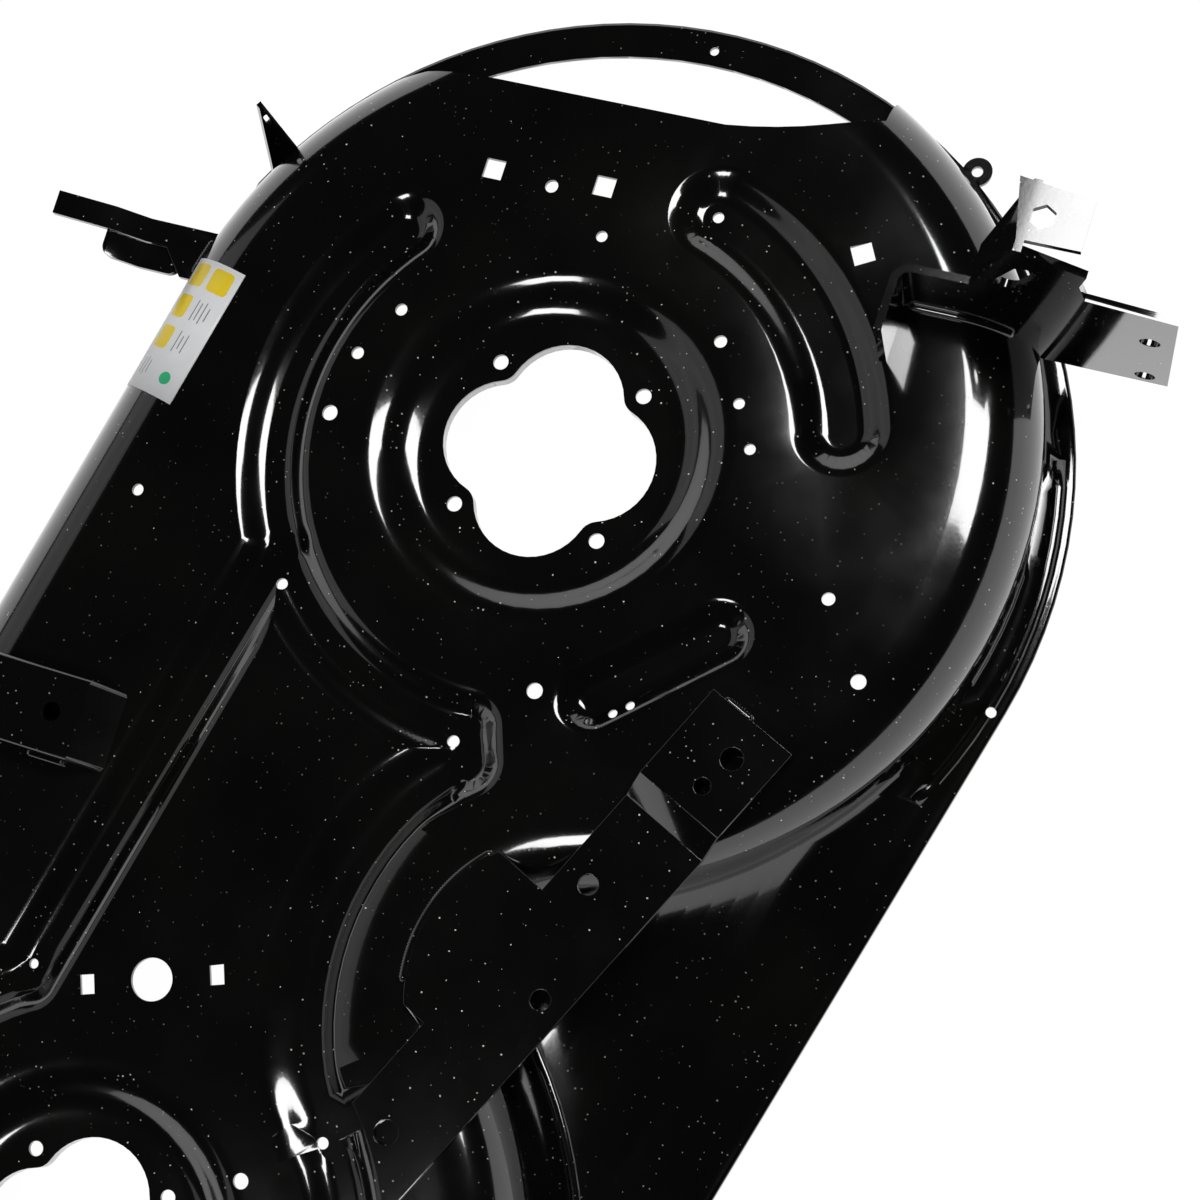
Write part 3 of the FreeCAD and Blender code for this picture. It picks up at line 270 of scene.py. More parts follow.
@dataclass(frozen=True)
class GlossCoat:
    """Black powder coat: glossy, a little orange peel, and fine bright dust. Sizes are millimetres."""

    name: str
    color: Triple = (0.0016, 0.0016, 0.0019)
    dusty: Triple = (0.0034, 0.0032, 0.0028)
    speck: Triple = (0.75, 0.68, 0.56)
    dusty_size: float = 90.0
    dusty_detail: float = 3.0
    dusty_range: Span = (0.35, 0.7)
    rough_low: float = 0.09
    rough_high: float = 0.15
    rough_size: float = 40.0
    rough_detail: float = 4.0
    rough_range: Span = (0.3, 0.7)
    coat_roughness: float = 0.05
    peel_size: float = 2.6
    peel_detail: float = 1.0
    peel_depth: float = 0.012
    grain_size: float = 0.5
    grain_share: float = 0.10
    speck_cell: float = 3.4
    speck_radius: float = 0.16
    speck_share: float = 0.3
    ior: float = 1.5

    def build(self) -> bpy.types.Material:
        """Mix the finish.

        Returns:
            The material.
        """
        board = NodeBoard(self.name)
        broad = board.noise(self.dusty_size, self.dusty_detail)
        cells = board.add("ShaderNodeTexVoronoi")
        cells.inputs["Scale"].default_value = 1.0 / (self.speck_cell * MM)
        board.join(board.place["Object"], cells.inputs["Vector"])
        chance = board.add("ShaderNodeSeparateColor")
        board.join(cells.outputs["Color"], chance.inputs["Color"])
        chosen = board.math("GREATER_THAN", chance.outputs["Red"], self.speck_share)
        radius = board.math("MULTIPLY", chance.outputs["Green"], self.speck_radius)
        dot = board.math("LESS_THAN", cells.outputs["Distance"], radius)
        speck = board.math("MULTIPLY", board.math("MULTIPLY", dot, chosen), chance.outputs["Blue"])
        ground = board.blend(board.ramp(broad, *self.dusty_range), self.color, self.dusty)
        board.join(board.blend(speck, ground, self.speck), board.shader.inputs["Base Color"])
        rough = board.noise(self.rough_size, self.rough_detail)
        board.join(board.ramp(rough, *self.rough_range, self.rough_low, self.rough_high),
                   board.shader.inputs["Roughness"])
        peel = board.noise(self.peel_size, self.peel_detail)
        grain = board.math("MULTIPLY", board.noise(self.grain_size, self.peel_detail), self.grain_share)
        board.bump(board.math("ADD", peel, grain), self.peel_depth)
        board.set(Coat_Weight=1.0, Coat_Roughness=self.coat_roughness, IOR=self.ior)
        return board.material


@dataclass(frozen=True)
class StickerPrint:
    """A plain white sticker with generic fields of colour, drawn on its own UV map.

    Each field or line has its middle, width and height as shares of the sticker.
    """

    name: str = "sticker_print"
    paper: Triple = (0.83, 0.84, 0.85)
    yellow: Triple = (0.90, 0.66, 0.01)
    grey: Triple = (0.24, 0.24, 0.26)
    green: Triple = (0.03, 0.52, 0.22)
    fields: tuple[Patch, ...] = (
        (0.12, 0.70, 0.17, 0.34), (0.12, 0.27, 0.17, 0.34),
        (0.36, 0.70, 0.17, 0.34), (0.60, 0.70, 0.17, 0.34))
    lines: tuple[Patch, ...] = (
        (0.36, 0.40, 0.16, 0.018), (0.36, 0.33, 0.13, 0.018), (0.36, 0.26, 0.16, 0.018),
        (0.36, 0.19, 0.10, 0.018), (0.60, 0.40, 0.16, 0.018), (0.60, 0.33, 0.10, 0.018),
        (0.60, 0.26, 0.14, 0.018), (0.83, 0.80, 0.12, 0.018), (0.83, 0.72, 0.14, 0.018),
        (0.83, 0.64, 0.10, 0.018))
    disc: Triple = (0.86, 0.26, 0.045)
    aspect: float = 1.9
    corner_power: float = 6.0
    stain_share: float = 0.12
    stain_size: float = 18.0
    stain_detail: float = 4.0
    stain_range: Span = (0.45, 0.8)
    rough_low: float = 0.28
    rough_high: float = 0.4
    rough_size: float = 6.0
    rough_range: Span = (0.3, 0.7)
    grain_size: float = 4.0
    grain_depth: float = 0.01
    ior: float = 1.45

    def mask(self, board: NodeBoard, across: object, along: object, box: Patch) -> bpy.types.NodeSocket:
        """A rounded rectangle on the sticker.

        Args:
            board: the material's nodes.
            across: the first UV socket.
            along: the second UV socket.
            box: the middle, width and height as shares of the sticker.

        Returns:
            A socket that is 1 inside the rectangle.
        """
        middle_u, middle_v, width, height = box
        sides = []
        for socket, middle, extent in ((across, middle_u, width), (along, middle_v, height)):
            gap = board.math("ABSOLUTE", board.math("SUBTRACT", socket, middle))
            sides.append(board.math("POWER", board.math("DIVIDE", gap, extent / 2.0), self.corner_power))
        return board.math("LESS_THAN", board.math("ADD", *sides), 1.0)

    def build(self) -> bpy.types.Material:
        """Draw the print.

        Returns:
            The material.
        """
        board = NodeBoard(self.name)
        split = board.add("ShaderNodeSeparateXYZ")
        board.join(board.place["UV"], split.inputs[0])
        across, along = split.outputs[0], split.outputs[1]
        stain = board.noise(self.stain_size, self.stain_detail)
        stain = board.ramp(stain, *self.stain_range, 0.0, self.stain_share)
        colour = board.blend(stain, self.paper, self.grey)
        for boxes, tint in ((self.fields, self.yellow), (self.lines, self.grey)):
            for box in boxes:
                colour = board.blend(self.mask(board, across, along, box), colour, tint)
        u, v, reach = self.disc
        round_u = board.math("POWER", board.math("SUBTRACT", across, u), 2.0)
        squeezed = board.math("MULTIPLY", board.math("SUBTRACT", along, v), 1.0 / self.aspect)
        round_v = board.math("POWER", squeezed, 2.0)
        inside = board.math("LESS_THAN", board.math("ADD", round_u, round_v), reach * reach)
        colour = board.blend(inside, colour, self.green)
        board.join(colour, board.shader.inputs["Base Color"])
        rough = board.ramp(board.noise(self.rough_size), *self.rough_range, self.rough_low, self.rough_high)
        board.join(rough, board.shader.inputs["Roughness"])
        board.bump(board.noise(self.grain_size), self.grain_depth)
        board.set(IOR=self.ior)
        return board.material


@dataclass(frozen=True)
class PaleGround:
    """The floor and the low wall round it: white to the eye and in gloss, with the object's shadow kept."""

    name: str
    dark: float = 0.89
    pale: float = 0.9
    tone_size: float = 700.0
    tone_range: Span = (0.2, 0.8)
    glow: float = 1.06
    glow_share: float = 0.93

    def build(self) -> bpy.types.Material:
        """Mix the finish.

        Returns:
            The material.
        """
        board = NodeBoard(self.name)
        board.tree.nodes.remove(board.shader)
        plain = board.add("ShaderNodeBsdfDiffuse")
        tone = board.ramp(board.noise(self.tone_size), *self.tone_range, self.dark, self.pale)
        board.join(tone, plain.inputs["Color"])
        glow = board.add("ShaderNodeEmission")
        glow.inputs["Strength"].default_value = self.glow
        path = board.add("ShaderNodeLightPath").outputs
        seen = board.math("MAXIMUM", path["Is Camera Ray"],
                          board.math("MAXIMUM", path["Is Glossy Ray"], path["Is Transmission Ray"]))
        mix = board.add("ShaderNodeMixShader")
        board.join(board.math("MULTIPLY", seen, self.glow_share), mix.inputs[0])
        board.join(plain.outputs[0], mix.inputs[1])
        board.join(glow.outputs[0], mix.inputs[2])
        output = board.tree.nodes["Material Output"]
        board.join(mix.outputs[0], output.inputs["Surface"])
        return board.material


# The pressed shape of the shell.

def ease(share: np.ndarray) -> np.ndarray:
    """A smooth step from 0 to 1 over a share that is held between them."""
    held = np.clip(share, 0.0, 1.0)
    return 0.5 - 0.5 * np.cos(np.pi * held)


def steep_ease(share: np.ndarray) -> np.ndarray:
    """A smooth step with a steeper middle."""
    held = np.clip(share, 0.0, 1.0)
    return held ** 2 / (held ** 2 + (1.0 - held) ** 2)


@dataclass(frozen=True)
class Channel:
    """A channel with a flat floor, pressed down into the top face."""

    floor: float = 8.0
    run: float = 19.0
    depth: float = 9.0

    def sink(self, offset: np.ndarray, run: object) -> np.ndarray:
        """How deep the channel is, by the distance from its middle line and the width of its slope."""
        return self.depth * (1.0 - ease((offset - self.floor / 2.0) / run))

    def level(self, x: np.ndarray, y: np.ndarray) -> np.ndarray:
        """How deep the channel is at places in plan."""
        raise NotImplementedError


@dataclass(frozen=True)
class Dish(Channel):
    """A round seat sunk into the top face, with one steep slope all round."""

    centre: Point = (0.0, 0.0)
    floor: float = 132.0
    run: float = 39.0
    depth: float = 14.0

    def level(self, x: np.ndarray, y: np.ndarray) -> np.ndarray:
        """How deep the seat is at places in plan."""
        offset = np.hypot(x - self.centre[0], y - self.centre[1])
        return self.depth * (1.0 - steep_ease((offset - self.floor / 2.0) / self.run))


@dataclass(frozen=True)
class LineChannel(Channel):
    """A straight channel with round ends."""

    start: Point = (0.0, 0.0)
    end: Point = (0.0, 0.0)

    def level(self, x: np.ndarray, y: np.ndarray) -> np.ndarray:
        """How deep the channel is.

        Args:
            x: places along X.
            y: places along Y.

        Returns:
            The depth at each place.
        """
        gap_x, gap_y = self.end[0] - self.start[0], self.end[1] - self.start[1]
        share = ((x - self.start[0]) * gap_x + (y - self.start[1]) * gap_y) / (gap_x ** 2 + gap_y ** 2)
        share = np.clip(share, 0.0, 1.0)
        offset = np.hypot(x - self.start[0] - share * gap_x, y - self.start[1] - share * gap_y)
        return self.sink(offset, self.run)


@dataclass(frozen=True)
class RingChannel(Channel):
    """A channel along a circle, whose slopes may get wider or narrower away from its ends."""

    centre: Point = (0.0, 0.0)
    radius: float = 100.0
    start: float = 0.0
    end: float = 180.0
    inner_run: float = 19.0
    outer_run: float = 19.0
    change: float = 16.0

    def level(self, x: np.ndarray, y: np.ndarray) -> np.ndarray:
        """How deep the channel is.

        Args:
            x: places along X.
            y: places along Y.

        Returns:
            The depth at each place.
        """
        gap_x, gap_y = x - self.centre[0], y - self.centre[1]
        reach = np.hypot(gap_x, gap_y)
        span = self.end - self.start
        turn = (np.degrees(np.arctan2(gap_y, gap_x)) - self.start) % 360.0
        away = ease(np.minimum(turn, span - turn) / self.change)
        side_run = np.where(reach < self.radius, self.inner_run, self.outer_run)
        level = np.where(turn <= span, self.sink(np.abs(reach - self.radius),
                                                 self.run + (side_run - self.run) * away), 0.0)
        for angle in (self.start, self.end):
            end_x = self.centre[0] + self.radius * math.cos(math.radians(angle))
            end_y = self.centre[1] + self.radius * math.sin(math.radians(angle))
            level = np.maximum(level, self.sink(np.hypot(x - end_x, y - end_y), self.run))
        return level


@dataclass(frozen=True)
class PressedForm:
    """All the channels and seats of the top face, joined smoothly."""

    deepest: float = 9.0
    blend: float = 6.0
    step: float = 0.15
    seats: tuple[Channel, ...] = (Dish(centre=(3.3, 3.9)), Dish(centre=(-488.234, 118.214)))
    channels: tuple[Channel, ...] = (
        RingChannel(centre=RIGHT, radius=156.0, start=49.0, end=181.0),
        LineChannel(start=(-86.338, 129.930), end=(-356.647, 192.783)),
        LineChannel(start=(-155.976, -2.723), end=(-173.17, -9.18)),
        RingChannel(centre=(-283.99, -128.02), radius=162.49, start=47.0, end=129.972,
                    inner_run=12.0, outer_run=28.0),
        RingChannel(centre=LEFT, radius=152.0, start=31.655, end=309.972),
        RingChannel(centre=RIGHT, radius=154.5, start=-71.5, end=-18.0, floor=15.0, run=20.0,
                    inner_run=20.0, outer_run=20.0),
        LineChannel(start=(-72.036, -117.766), end=(-122.504, -63.646), run=17.0),
    )

    def level(self, x: np.ndarray, y: np.ndarray) -> np.ndarray:
        """How deep the upper face is under the flat top.

        Args:
            x: places along X.
            y: places along Y.

        Returns:
            The depth at each place.
        """
        total = sum(channel.level(x, y) ** self.blend for channel in self.channels)
        joined = np.minimum(total ** (1.0 / self.blend), self.deepest)
        return np.maximum(joined, sum(seat.level(x, y) for seat in self.seats))

    def slope(self, x: np.ndarray, y: np.ndarray) -> tuple[np.ndarray, np.ndarray]:
        """How fast the depth grows.

        Args:
            x: places along X.
            y: places along Y.

        Returns:
            The slope along X and along Y at each place.
        """
        step = self.step
        slope_x = (self.level(x + step, y) - self.level(x - step, y)) / (2.0 * step)
        slope_y = (self.level(x, y + step) - self.level(x, y - step)) / (2.0 * step)
        return slope_x, slope_y


@dataclass(frozen=True)
class WallOutline:
    """The outline of the deck's wall in plan, which the shoulder and the wall follow.

    Each arc has its middle, its radius, and 1 where the deck lies inside it or -1 where it lies outside.
    """

    arcs: tuple[tuple[Point, float, float], ...] = (
        (RIGHT, FRONT_RADIUS, 1.0), ((-484.901, 117.884), 247.0, 1.0), (VALLEY, 54.0, -1.0),
        (REAR_WALL, REAR_RADIUS, 1.0), ((230.0, 20.0), 60.0, 1.0))
    forward: float = 90.0 - SKEW

    def tangents(self) -> tuple[tuple[Point, Point], ...]:
        """Where the wall runs straight.

        Returns:
            The straight stretches, each as its two ends.
        """
        right, left, _, rear, closing = self.arcs
        turn = math.radians(self.forward)
        ahead = (math.cos(turn), math.sin(turn))
        front = (tuple(c + ahead[i] * right[1] for i, c in enumerate(right[0])),
                 tuple(c + ahead[i] * left[1] for i, c in enumerate(left[0])))
        runs = [front]
        for first, second in ((rear, closing), (closing, right)):
            gap = Vector(second[0]) - Vector(first[0])
            lean = math.acos((first[1] - second[1]) / gap.length)
            turn = math.atan2(gap.y, gap.x) - lean
            out = (math.cos(turn), math.sin(turn))
            runs.append((tuple(c + out[i] * first[1] for i, c in enumerate(first[0])),
                         tuple(c + out[i] * second[1] for i, c in enumerate(second[0]))))
        return tuple(runs)

    def outward(self, x: np.ndarray, y: np.ndarray) -> tuple[np.ndarray, np.ndarray, np.ndarray]:
        """Where the nearest stretch of the wall lies.

        Args:
            x: places along X.
            y: places along Y.

        Returns:
            The distance to it, and the X and Y of the direction straight out through it.
        """
        nearest = np.full(x.shape, np.inf)
        out_x, out_y = np.zeros_like(x), np.zeros_like(y)

        def offer(distance: np.ndarray, unit_x: np.ndarray, unit_y: np.ndarray) -> None:
            """Keep a stretch's direction where it is the nearest so far.

            Args:
                distance: how far each place is from the stretch.
                unit_x: the direction's X at each place.
                unit_y: the direction's Y at each place.
            """
            better = distance < nearest
            nearest[better] = distance[better]
            out_x[better] = unit_x[better]
            out_y[better] = unit_y[better]

        ends = [point for run in self.tangents() for point in run]
        middle = (sum(p[0] for p in ends) / len(ends), sum(p[1] for p in ends) / len(ends))
        for (centre, radius, side), (start, sweep) in zip(self.arcs, self.spans()):
            gap_x, gap_y = x - centre[0], y - centre[1]
            reach = np.maximum(np.hypot(gap_x, gap_y), TINY)
            turn = (np.degrees(np.arctan2(gap_y, gap_x)) - start) % 360.0
            distance = np.where(turn <= sweep, np.abs(reach - radius), np.inf)
            offer(distance, side * gap_x / reach, side * gap_y / reach)
        for first, second in self.tangents():
            run_x, run_y = second[0] - first[0], second[1] - first[1]
            length = math.hypot(run_x, run_y)
            share = ((x - first[0]) * run_x + (y - first[1]) * run_y) / length ** 2
            across = ((x - first[0]) * run_y - (y - first[1]) * run_x) / length
            distance = np.where((share >= 0.0) & (share <= 1.0), np.abs(across), np.inf)
            outside = math.copysign(1.0, (first[0] - middle[0]) * run_y - (first[1] - middle[1]) * run_x)
            offer(distance, np.full_like(x, outside * run_y / length),
                  np.full_like(y, -outside * run_x / length))
        return nearest, out_x, out_y

    def spans(self) -> tuple[Span, ...]:
        """Which part of each arc's circle the wall follows.

        Returns:
            Each arc's start and how far it turns, in degrees.
        """
        right, left, valley, rear, closing = self.arcs

        def heading(start: Point, end: Point) -> float:
            """The direction from one point to another."""
            return math.degrees(math.atan2(end[1] - start[1], end[0] - start[0]))

        runs = self.tangents()
        leave_rear = heading(rear[0], runs[1][0])
        reach_front = heading(closing[0], runs[2][0])
        to_left = heading(left[0], valley[0])
        to_right = heading(rear[0], valley[0])
        pairs = ((reach_front, self.forward), (self.forward, to_left),
                 (to_right + 180.0, to_left + 180.0), (to_right, leave_rear), (leave_rear, reach_front))
        return tuple((start, (end - start) % 360.0) for start, end in pairs)


@dataclass
class DeckShell:
    """The pressed shell: its CAD mesh with smoothly pressed slopes and true surface normals.

    An edge is divided where the pressed form leaves it by more than the fineness, and a corner moves
    to the form if it lies within the press's reach of it.
    """

    form: PressedForm = field(default_factory=PressedForm)
    outline: WallOutline = field(default_factory=WallOutline)
    cuts: int = 5
    passes: int = 4
    fineness: float = 0.12
    shortest_edge: float = 2.0
    probes: Triple = (0.25, 0.5, 0.75)
    top_depth: float = 19.0
    press_reach: float = 2.4
    shoulder_gap: float = 0.02
    height_match: float = 0.05
    rise_weight: float = 0.5
    wall_foot: float = -63.9
    sharp_angle: float = 35.0
    flat_share: float = 0.3
    agreement: float = 0.75

    def heights(self, x: np.ndarray, y: np.ndarray, inner: np.ndarray) -> tuple[np.ndarray, np.ndarray]:
        """The height of the top's two faces at places in plan.

        Args:
            x: places along X.
            y: places along Y.
            inner: where the face under the sheet is meant.

        Returns:
            The heights, and where the pressed top and not the rolled shoulder gives them.
        """
        inset = self.outline.outward(x, y)[0]
        roll = np.where(inner, SHOULDER - GAUGE, SHOULDER)
        over = np.clip(SHOULDER - inset, 0.0, roll)
        rolled = np.sqrt(roll ** 2 - over ** 2) - SHOULDER
        slope_x, slope_y = self.form.slope(x, y)
        under = GAUGE * np.sqrt(1.0 + slope_x ** 2 + slope_y ** 2)
        pressed = -self.form.level(x, y) - np.where(inner, under, 0.0)
        top = (pressed < rolled - self.shoulder_gap) | (inset >= SHOULDER)
        return np.minimum(pressed, rolled), top

    def skin_of(self, mesh: bmesh.types.BMesh) -> tuple[list[bmesh.types.BMVert], np.ndarray, np.ndarray]:
        """The corners of the top's two faces.

        Args:
            mesh: the merged shell in metres.

        Returns:
            The corners, whether each belongs to the face under the sheet, and its pressed height.
        """
        verts = [vert for vert in mesh.verts if vert.co.z > -self.top_depth * MM]
        lean = np.array([sum(face.normal.z * face.calc_area() for face in vert.link_faces
                             if abs(face.normal.z) > self.flat_share) for vert in verts])
        inner = lean < 0.0
        places = np.array([vert.co for vert in verts]) / MM
        x, y, z = places.T
        height, top = self.heights(x, y, inner)
        chosen = np.flatnonzero(top & (np.abs(z - height) < self.press_reach))
        return [verts[index] for index in chosen], inner[chosen], height[chosen]

    def press(self, mesh: bmesh.types.BMesh) -> None:
        """Divide the slopes and move the top's corners to the pressed shape.

        Args:
            mesh: the merged shell, laid out from the plan's own origin.
        """
        for step in range(self.passes):
            verts, inner, _ = self.skin_of(mesh)
            side = dict(zip(verts, inner))
            edges = [edge for edge in mesh.edges
                     if edge.verts[0] in side and edge.verts[1] in side
                     and side[edge.verts[0]] == side[edge.verts[1]]
                     and (edge.verts[0].co - edge.verts[1].co).xy.length > self.shortest_edge * MM]
            ends = np.array([[vert.co.xy for vert in edge.verts] for edge in edges]) / MM
            first, second = ends[:, 0], ends[:, 1]
            bend = np.zeros(len(edges))
            ends_level = [self.form.level(*point.T) for point in (first, second)]
            for share in self.probes:
                place = first * (1.0 - share) + second * share
                line = ends_level[0] * (1.0 - share) + ends_level[1] * share
                bend = np.maximum(bend, np.abs(self.form.level(*place.T) - line))
            chosen = [edges[index] for index in np.flatnonzero(bend > self.fineness)]
            cuts = self.cuts if step == 0 else 1
            bmesh.ops.subdivide_edges(mesh, edges=chosen, cuts=cuts, use_grid_fill=True)
            mesh.normal_update()
        verts, _, height = self.skin_of(mesh)
        for vert, level in zip(verts, height):
            vert.co.z = level * MM

    def true_normals(self, data: bpy.types.Mesh) -> None:
        """Give every corner the normal of the shape that its flat faces stand for.

        Args:
            data: the shell's mesh in its place.
        """
        data.set_sharp_from_angle(angle=math.radians(self.sharp_angle))
        count = len(data.loops)
        normals = np.zeros(count * 3)
        data.corner_normals.foreach_get("vector", normals)
        normals = normals.reshape(-1, 3)
        corner = np.zeros(count, dtype=np.int64)
        data.loops.foreach_get("vertex_index", corner)
        places = np.zeros(len(data.vertices) * 3)
        data.vertices.foreach_get("co", places)
        places = places.reshape(-1, 3)[corner] / MM - np.array(HOME)
        flat = np.zeros(len(data.polygons) * 3)
        data.polygon_normals.foreach_get("vector", flat)
        sizes = np.zeros(len(data.polygons), dtype=np.int64)
        data.polygons.foreach_get("loop_total", sizes)
        facing = np.repeat(flat.reshape(-1, 3), sizes, axis=0)

        x, y, z = places.T
        slope_x, slope_y = self.form.slope(x, y)
        _, out_x, out_y = self.outline.outward(x, y)
        outwards = facing[:, 0] * out_x + facing[:, 1] * out_y + facing[:, 2] * self.rise_weight
        inner = np.where(z > -self.top_depth, facing[:, 2], outwards) < 0.0
        side = np.where(inner, -1.0, 1.0)
        height, top = self.heights(x, y, inner)
        top &= np.abs(z - height) < self.height_match
        pressed = np.stack([slope_x, slope_y, np.ones_like(z)], axis=1)
        reach = np.where(inner, SHOULDER - GAUGE, SHOULDER)
        rise = np.clip((z + SHOULDER) / reach, 0.0, 1.0)
        fall = np.sqrt(1.0 - rise ** 2)
        rolled = np.stack([out_x * fall, out_y * fall, rise], axis=1)
        target = np.where(top[:, None], pressed, rolled)
        target /= np.linalg.norm(target, axis=1, keepdims=True)
        target *= side[:, None]
        fits = (np.einsum("ij,ij->i", target, facing) > self.agreement) & (z > self.wall_foot)
        chosen = np.where(fits[:, None], target, normals)
        LOG.info("deck_shell: %d of %d corners have the pressed shape's normal", int(fits.sum()), count)
        data.normals_split_custom_set([tuple(row) for row in chosen])

    def build(self, coat: bpy.types.Material) -> bpy.types.Object:
        """Model and dress the shell.

        Args:
            coat: the shell's finish.

        Returns:
            The finished piece.
        """
        mesh = merged_copy("deck_shell", "deck_shell")
        bmesh.ops.translate(mesh, vec=-HOME * MM, verts=mesh.verts)
        mesh.normal_update()
        self.press(mesh)
        bmesh.ops.translate(mesh, vec=HOME * MM, verts=mesh.verts)
        mesh.normal_update()
        piece = to_object(mesh, "pressed_shell", coat)
        self.true_normals(piece.data)
        mount(piece, "deck_shell")
        return piece


@dataclass
class FoldedPart:
    """A part of folded plate: its CAD mesh with the slightly rounded edges of cut sheet."""

    node: str
    name: str
    edge_radius: float = 0.7
    edge_steps: int = 2
    edge_angle: float = 40.0
    flat_angle: float = 1.0

    def build(self, coat: bpy.types.Material) -> bpy.types.Object:
        """Model and dress the part.

        Args:
            coat: the part's finish.

        Returns:
            The finished piece.
        """
        mesh = merged_copy(self.node, self.name)
        flat = math.radians(self.flat_angle)
        bmesh.ops.dissolve_limit(mesh, angle_limit=flat, verts=mesh.verts, edges=mesh.edges)
        piece = to_object(mesh, self.name, coat)
        piece.data.set_sharp_from_angle(angle=math.radians(self.edge_angle))
        bevel = piece.modifiers.new("cut_edges", "BEVEL")
        bevel.width = self.edge_radius * MM
        bevel.segments = self.edge_steps
        bevel.limit_method = "ANGLE"
        bevel.angle_limit = math.radians(self.edge_angle)
        bevel.harden_normals = True
        bevel.use_clamp_overlap = True
        mount(piece, self.node)
        return piece


@dataclass
class WeldBead:
    """A rippled bead laid along a run of points."""

    node: str
    name: str
    path: list[Triple]
    radius: float = 2.6
    pitch: float = 1.6
    ripple: float = 0.10
    end_size: float = 0.45
    end_growth: float = 0.35
    fewest: int = 4
    sides: int = 12

    def frames(self) -> list[tuple[Vector, Vector]]:
        """The rings of the bead, one for each ripple's crest and waist.

        Returns:
            Each ring's place and direction.
        """
        points = [Vector(point) for point in self.path]
        lengths = [(second - first).length for first, second in zip(points, points[1:])]
        total = sum(lengths)
        count = max(int(total / self.pitch) * 2, self.fewest)
        places = []
        for index in range(count + 1):
            left = total * index / count
            for number, length in enumerate(lengths):
                if left <= length or number == len(lengths) - 1:
                    places.append(points[number].lerp(points[number + 1], min(left / length, 1.0)))
                    break
                left -= length
        ways = [(places[min(i + 1, count)] - places[max(i - 1, 0)]).normalized() for i in range(count + 1)]
        return list(zip(places, ways))

    def build(self, coat: bpy.types.Material) -> bpy.types.Object:
        """Model and dress the bead.

        Args:
            coat: the bead's finish.

        Returns:
            The finished piece.
        """
        mesh = bmesh.new()
        frames = self.frames()
        last = len(frames) - 1
        angles = [math.tau * side / self.sides for side in range(self.sides)]
        circle = [Vector((-math.sin(angle), math.cos(angle), 0.0)) for angle in angles]
        rings = []
        for index, (place, ahead) in enumerate(frames):
            taper = min(1.0, self.end_size + self.end_growth * min(index, last - index))
            size = self.radius * taper * (1.0 + self.ripple * (1 if index % 2 else -1))
            turn = Vector((0.0, 0.0, 1.0)).rotation_difference(ahead).to_matrix()
            rings.append([mesh.verts.new((place + HOME + turn @ corner * size) * MM) for corner in circle])
        for first, second in zip(rings, rings[1:]):
            for side in range(self.sides):
                mesh.faces.new((first[side - 1], first[side], second[side], second[side - 1]))
        mesh.faces.new(rings[0])
        mesh.faces.new(rings[-1])
        bmesh.ops.recalc_face_normals(mesh, faces=mesh.faces)
        piece = to_object(mesh, self.name, coat)
        mount(piece, self.node)
        return piece


@dataclass
class Sticker:
    """The white sticker that wraps from the top over the front shoulder."""

    length: float = 84.0
    flat: float = 5.0
    wrap: float = 56.0
    roll: float = SHOULDER + 0.1
    reach: float = FRONT_RADIUS - SHOULDER
    start: float = -8.0
    turn: float = -SKEW
    thickness: float = 0.3
    steps: int = 24

    def bend(self, mesh: bmesh.types.BMesh) -> None:
        """Roll the flat sheet of the sticker over the shoulder and carry it to its place.

        Args:
            mesh: a sheet with corners at 0 and 1 along X and Y.
        """
        arc = self.roll * math.radians(self.wrap)
        turn = math.radians(self.turn)
        along = Vector((-math.cos(turn), -math.sin(turn), 0.0)) * self.start
        spin = Matrix.Rotation(turn, 4, "Z")
        for vert in mesh.verts:
            side = vert.co.x * self.length
            run = vert.co.y * (self.flat + arc) - self.flat
            if run <= 0.0:
                y, z = self.reach + run, self.roll - SHOULDER
            else:
                angle = run / self.roll
                y, z = self.reach + self.roll * math.sin(angle), self.roll * math.cos(angle) - SHOULDER
            place = spin @ Vector((-side, y, z)) + along
            vert.co = (place + HOME) * MM

    def build(self, paper: bpy.types.Material) -> bpy.types.Object:
        """Model and dress the sticker.

        Args:
            paper: the sticker's finish.

        Returns:
            The finished piece.
        """
        mesh = bmesh.new()
        mesh.loops.layers.uv.new("print")
        bmesh.ops.create_grid(mesh, x_segments=2, y_segments=self.steps, size=0.5, calc_uvs=True)
        bmesh.ops.translate(mesh, vec=(0.5, 0.5, 0.0), verts=mesh.verts)
        self.bend(mesh)
        mesh.normal_update()
        if sum(face.normal.z for face in mesh.faces) < 0.0:
            bmesh.ops.reverse_faces(mesh, faces=mesh.faces)
        piece = to_object(mesh, "shoulder_sticker", paper)
        solid = piece.modifiers.new("paper", "SOLIDIFY")
        solid.thickness = self.thickness * MM
        solid.offset = 1.0
        mount(piece, "deck_label")
        return piece


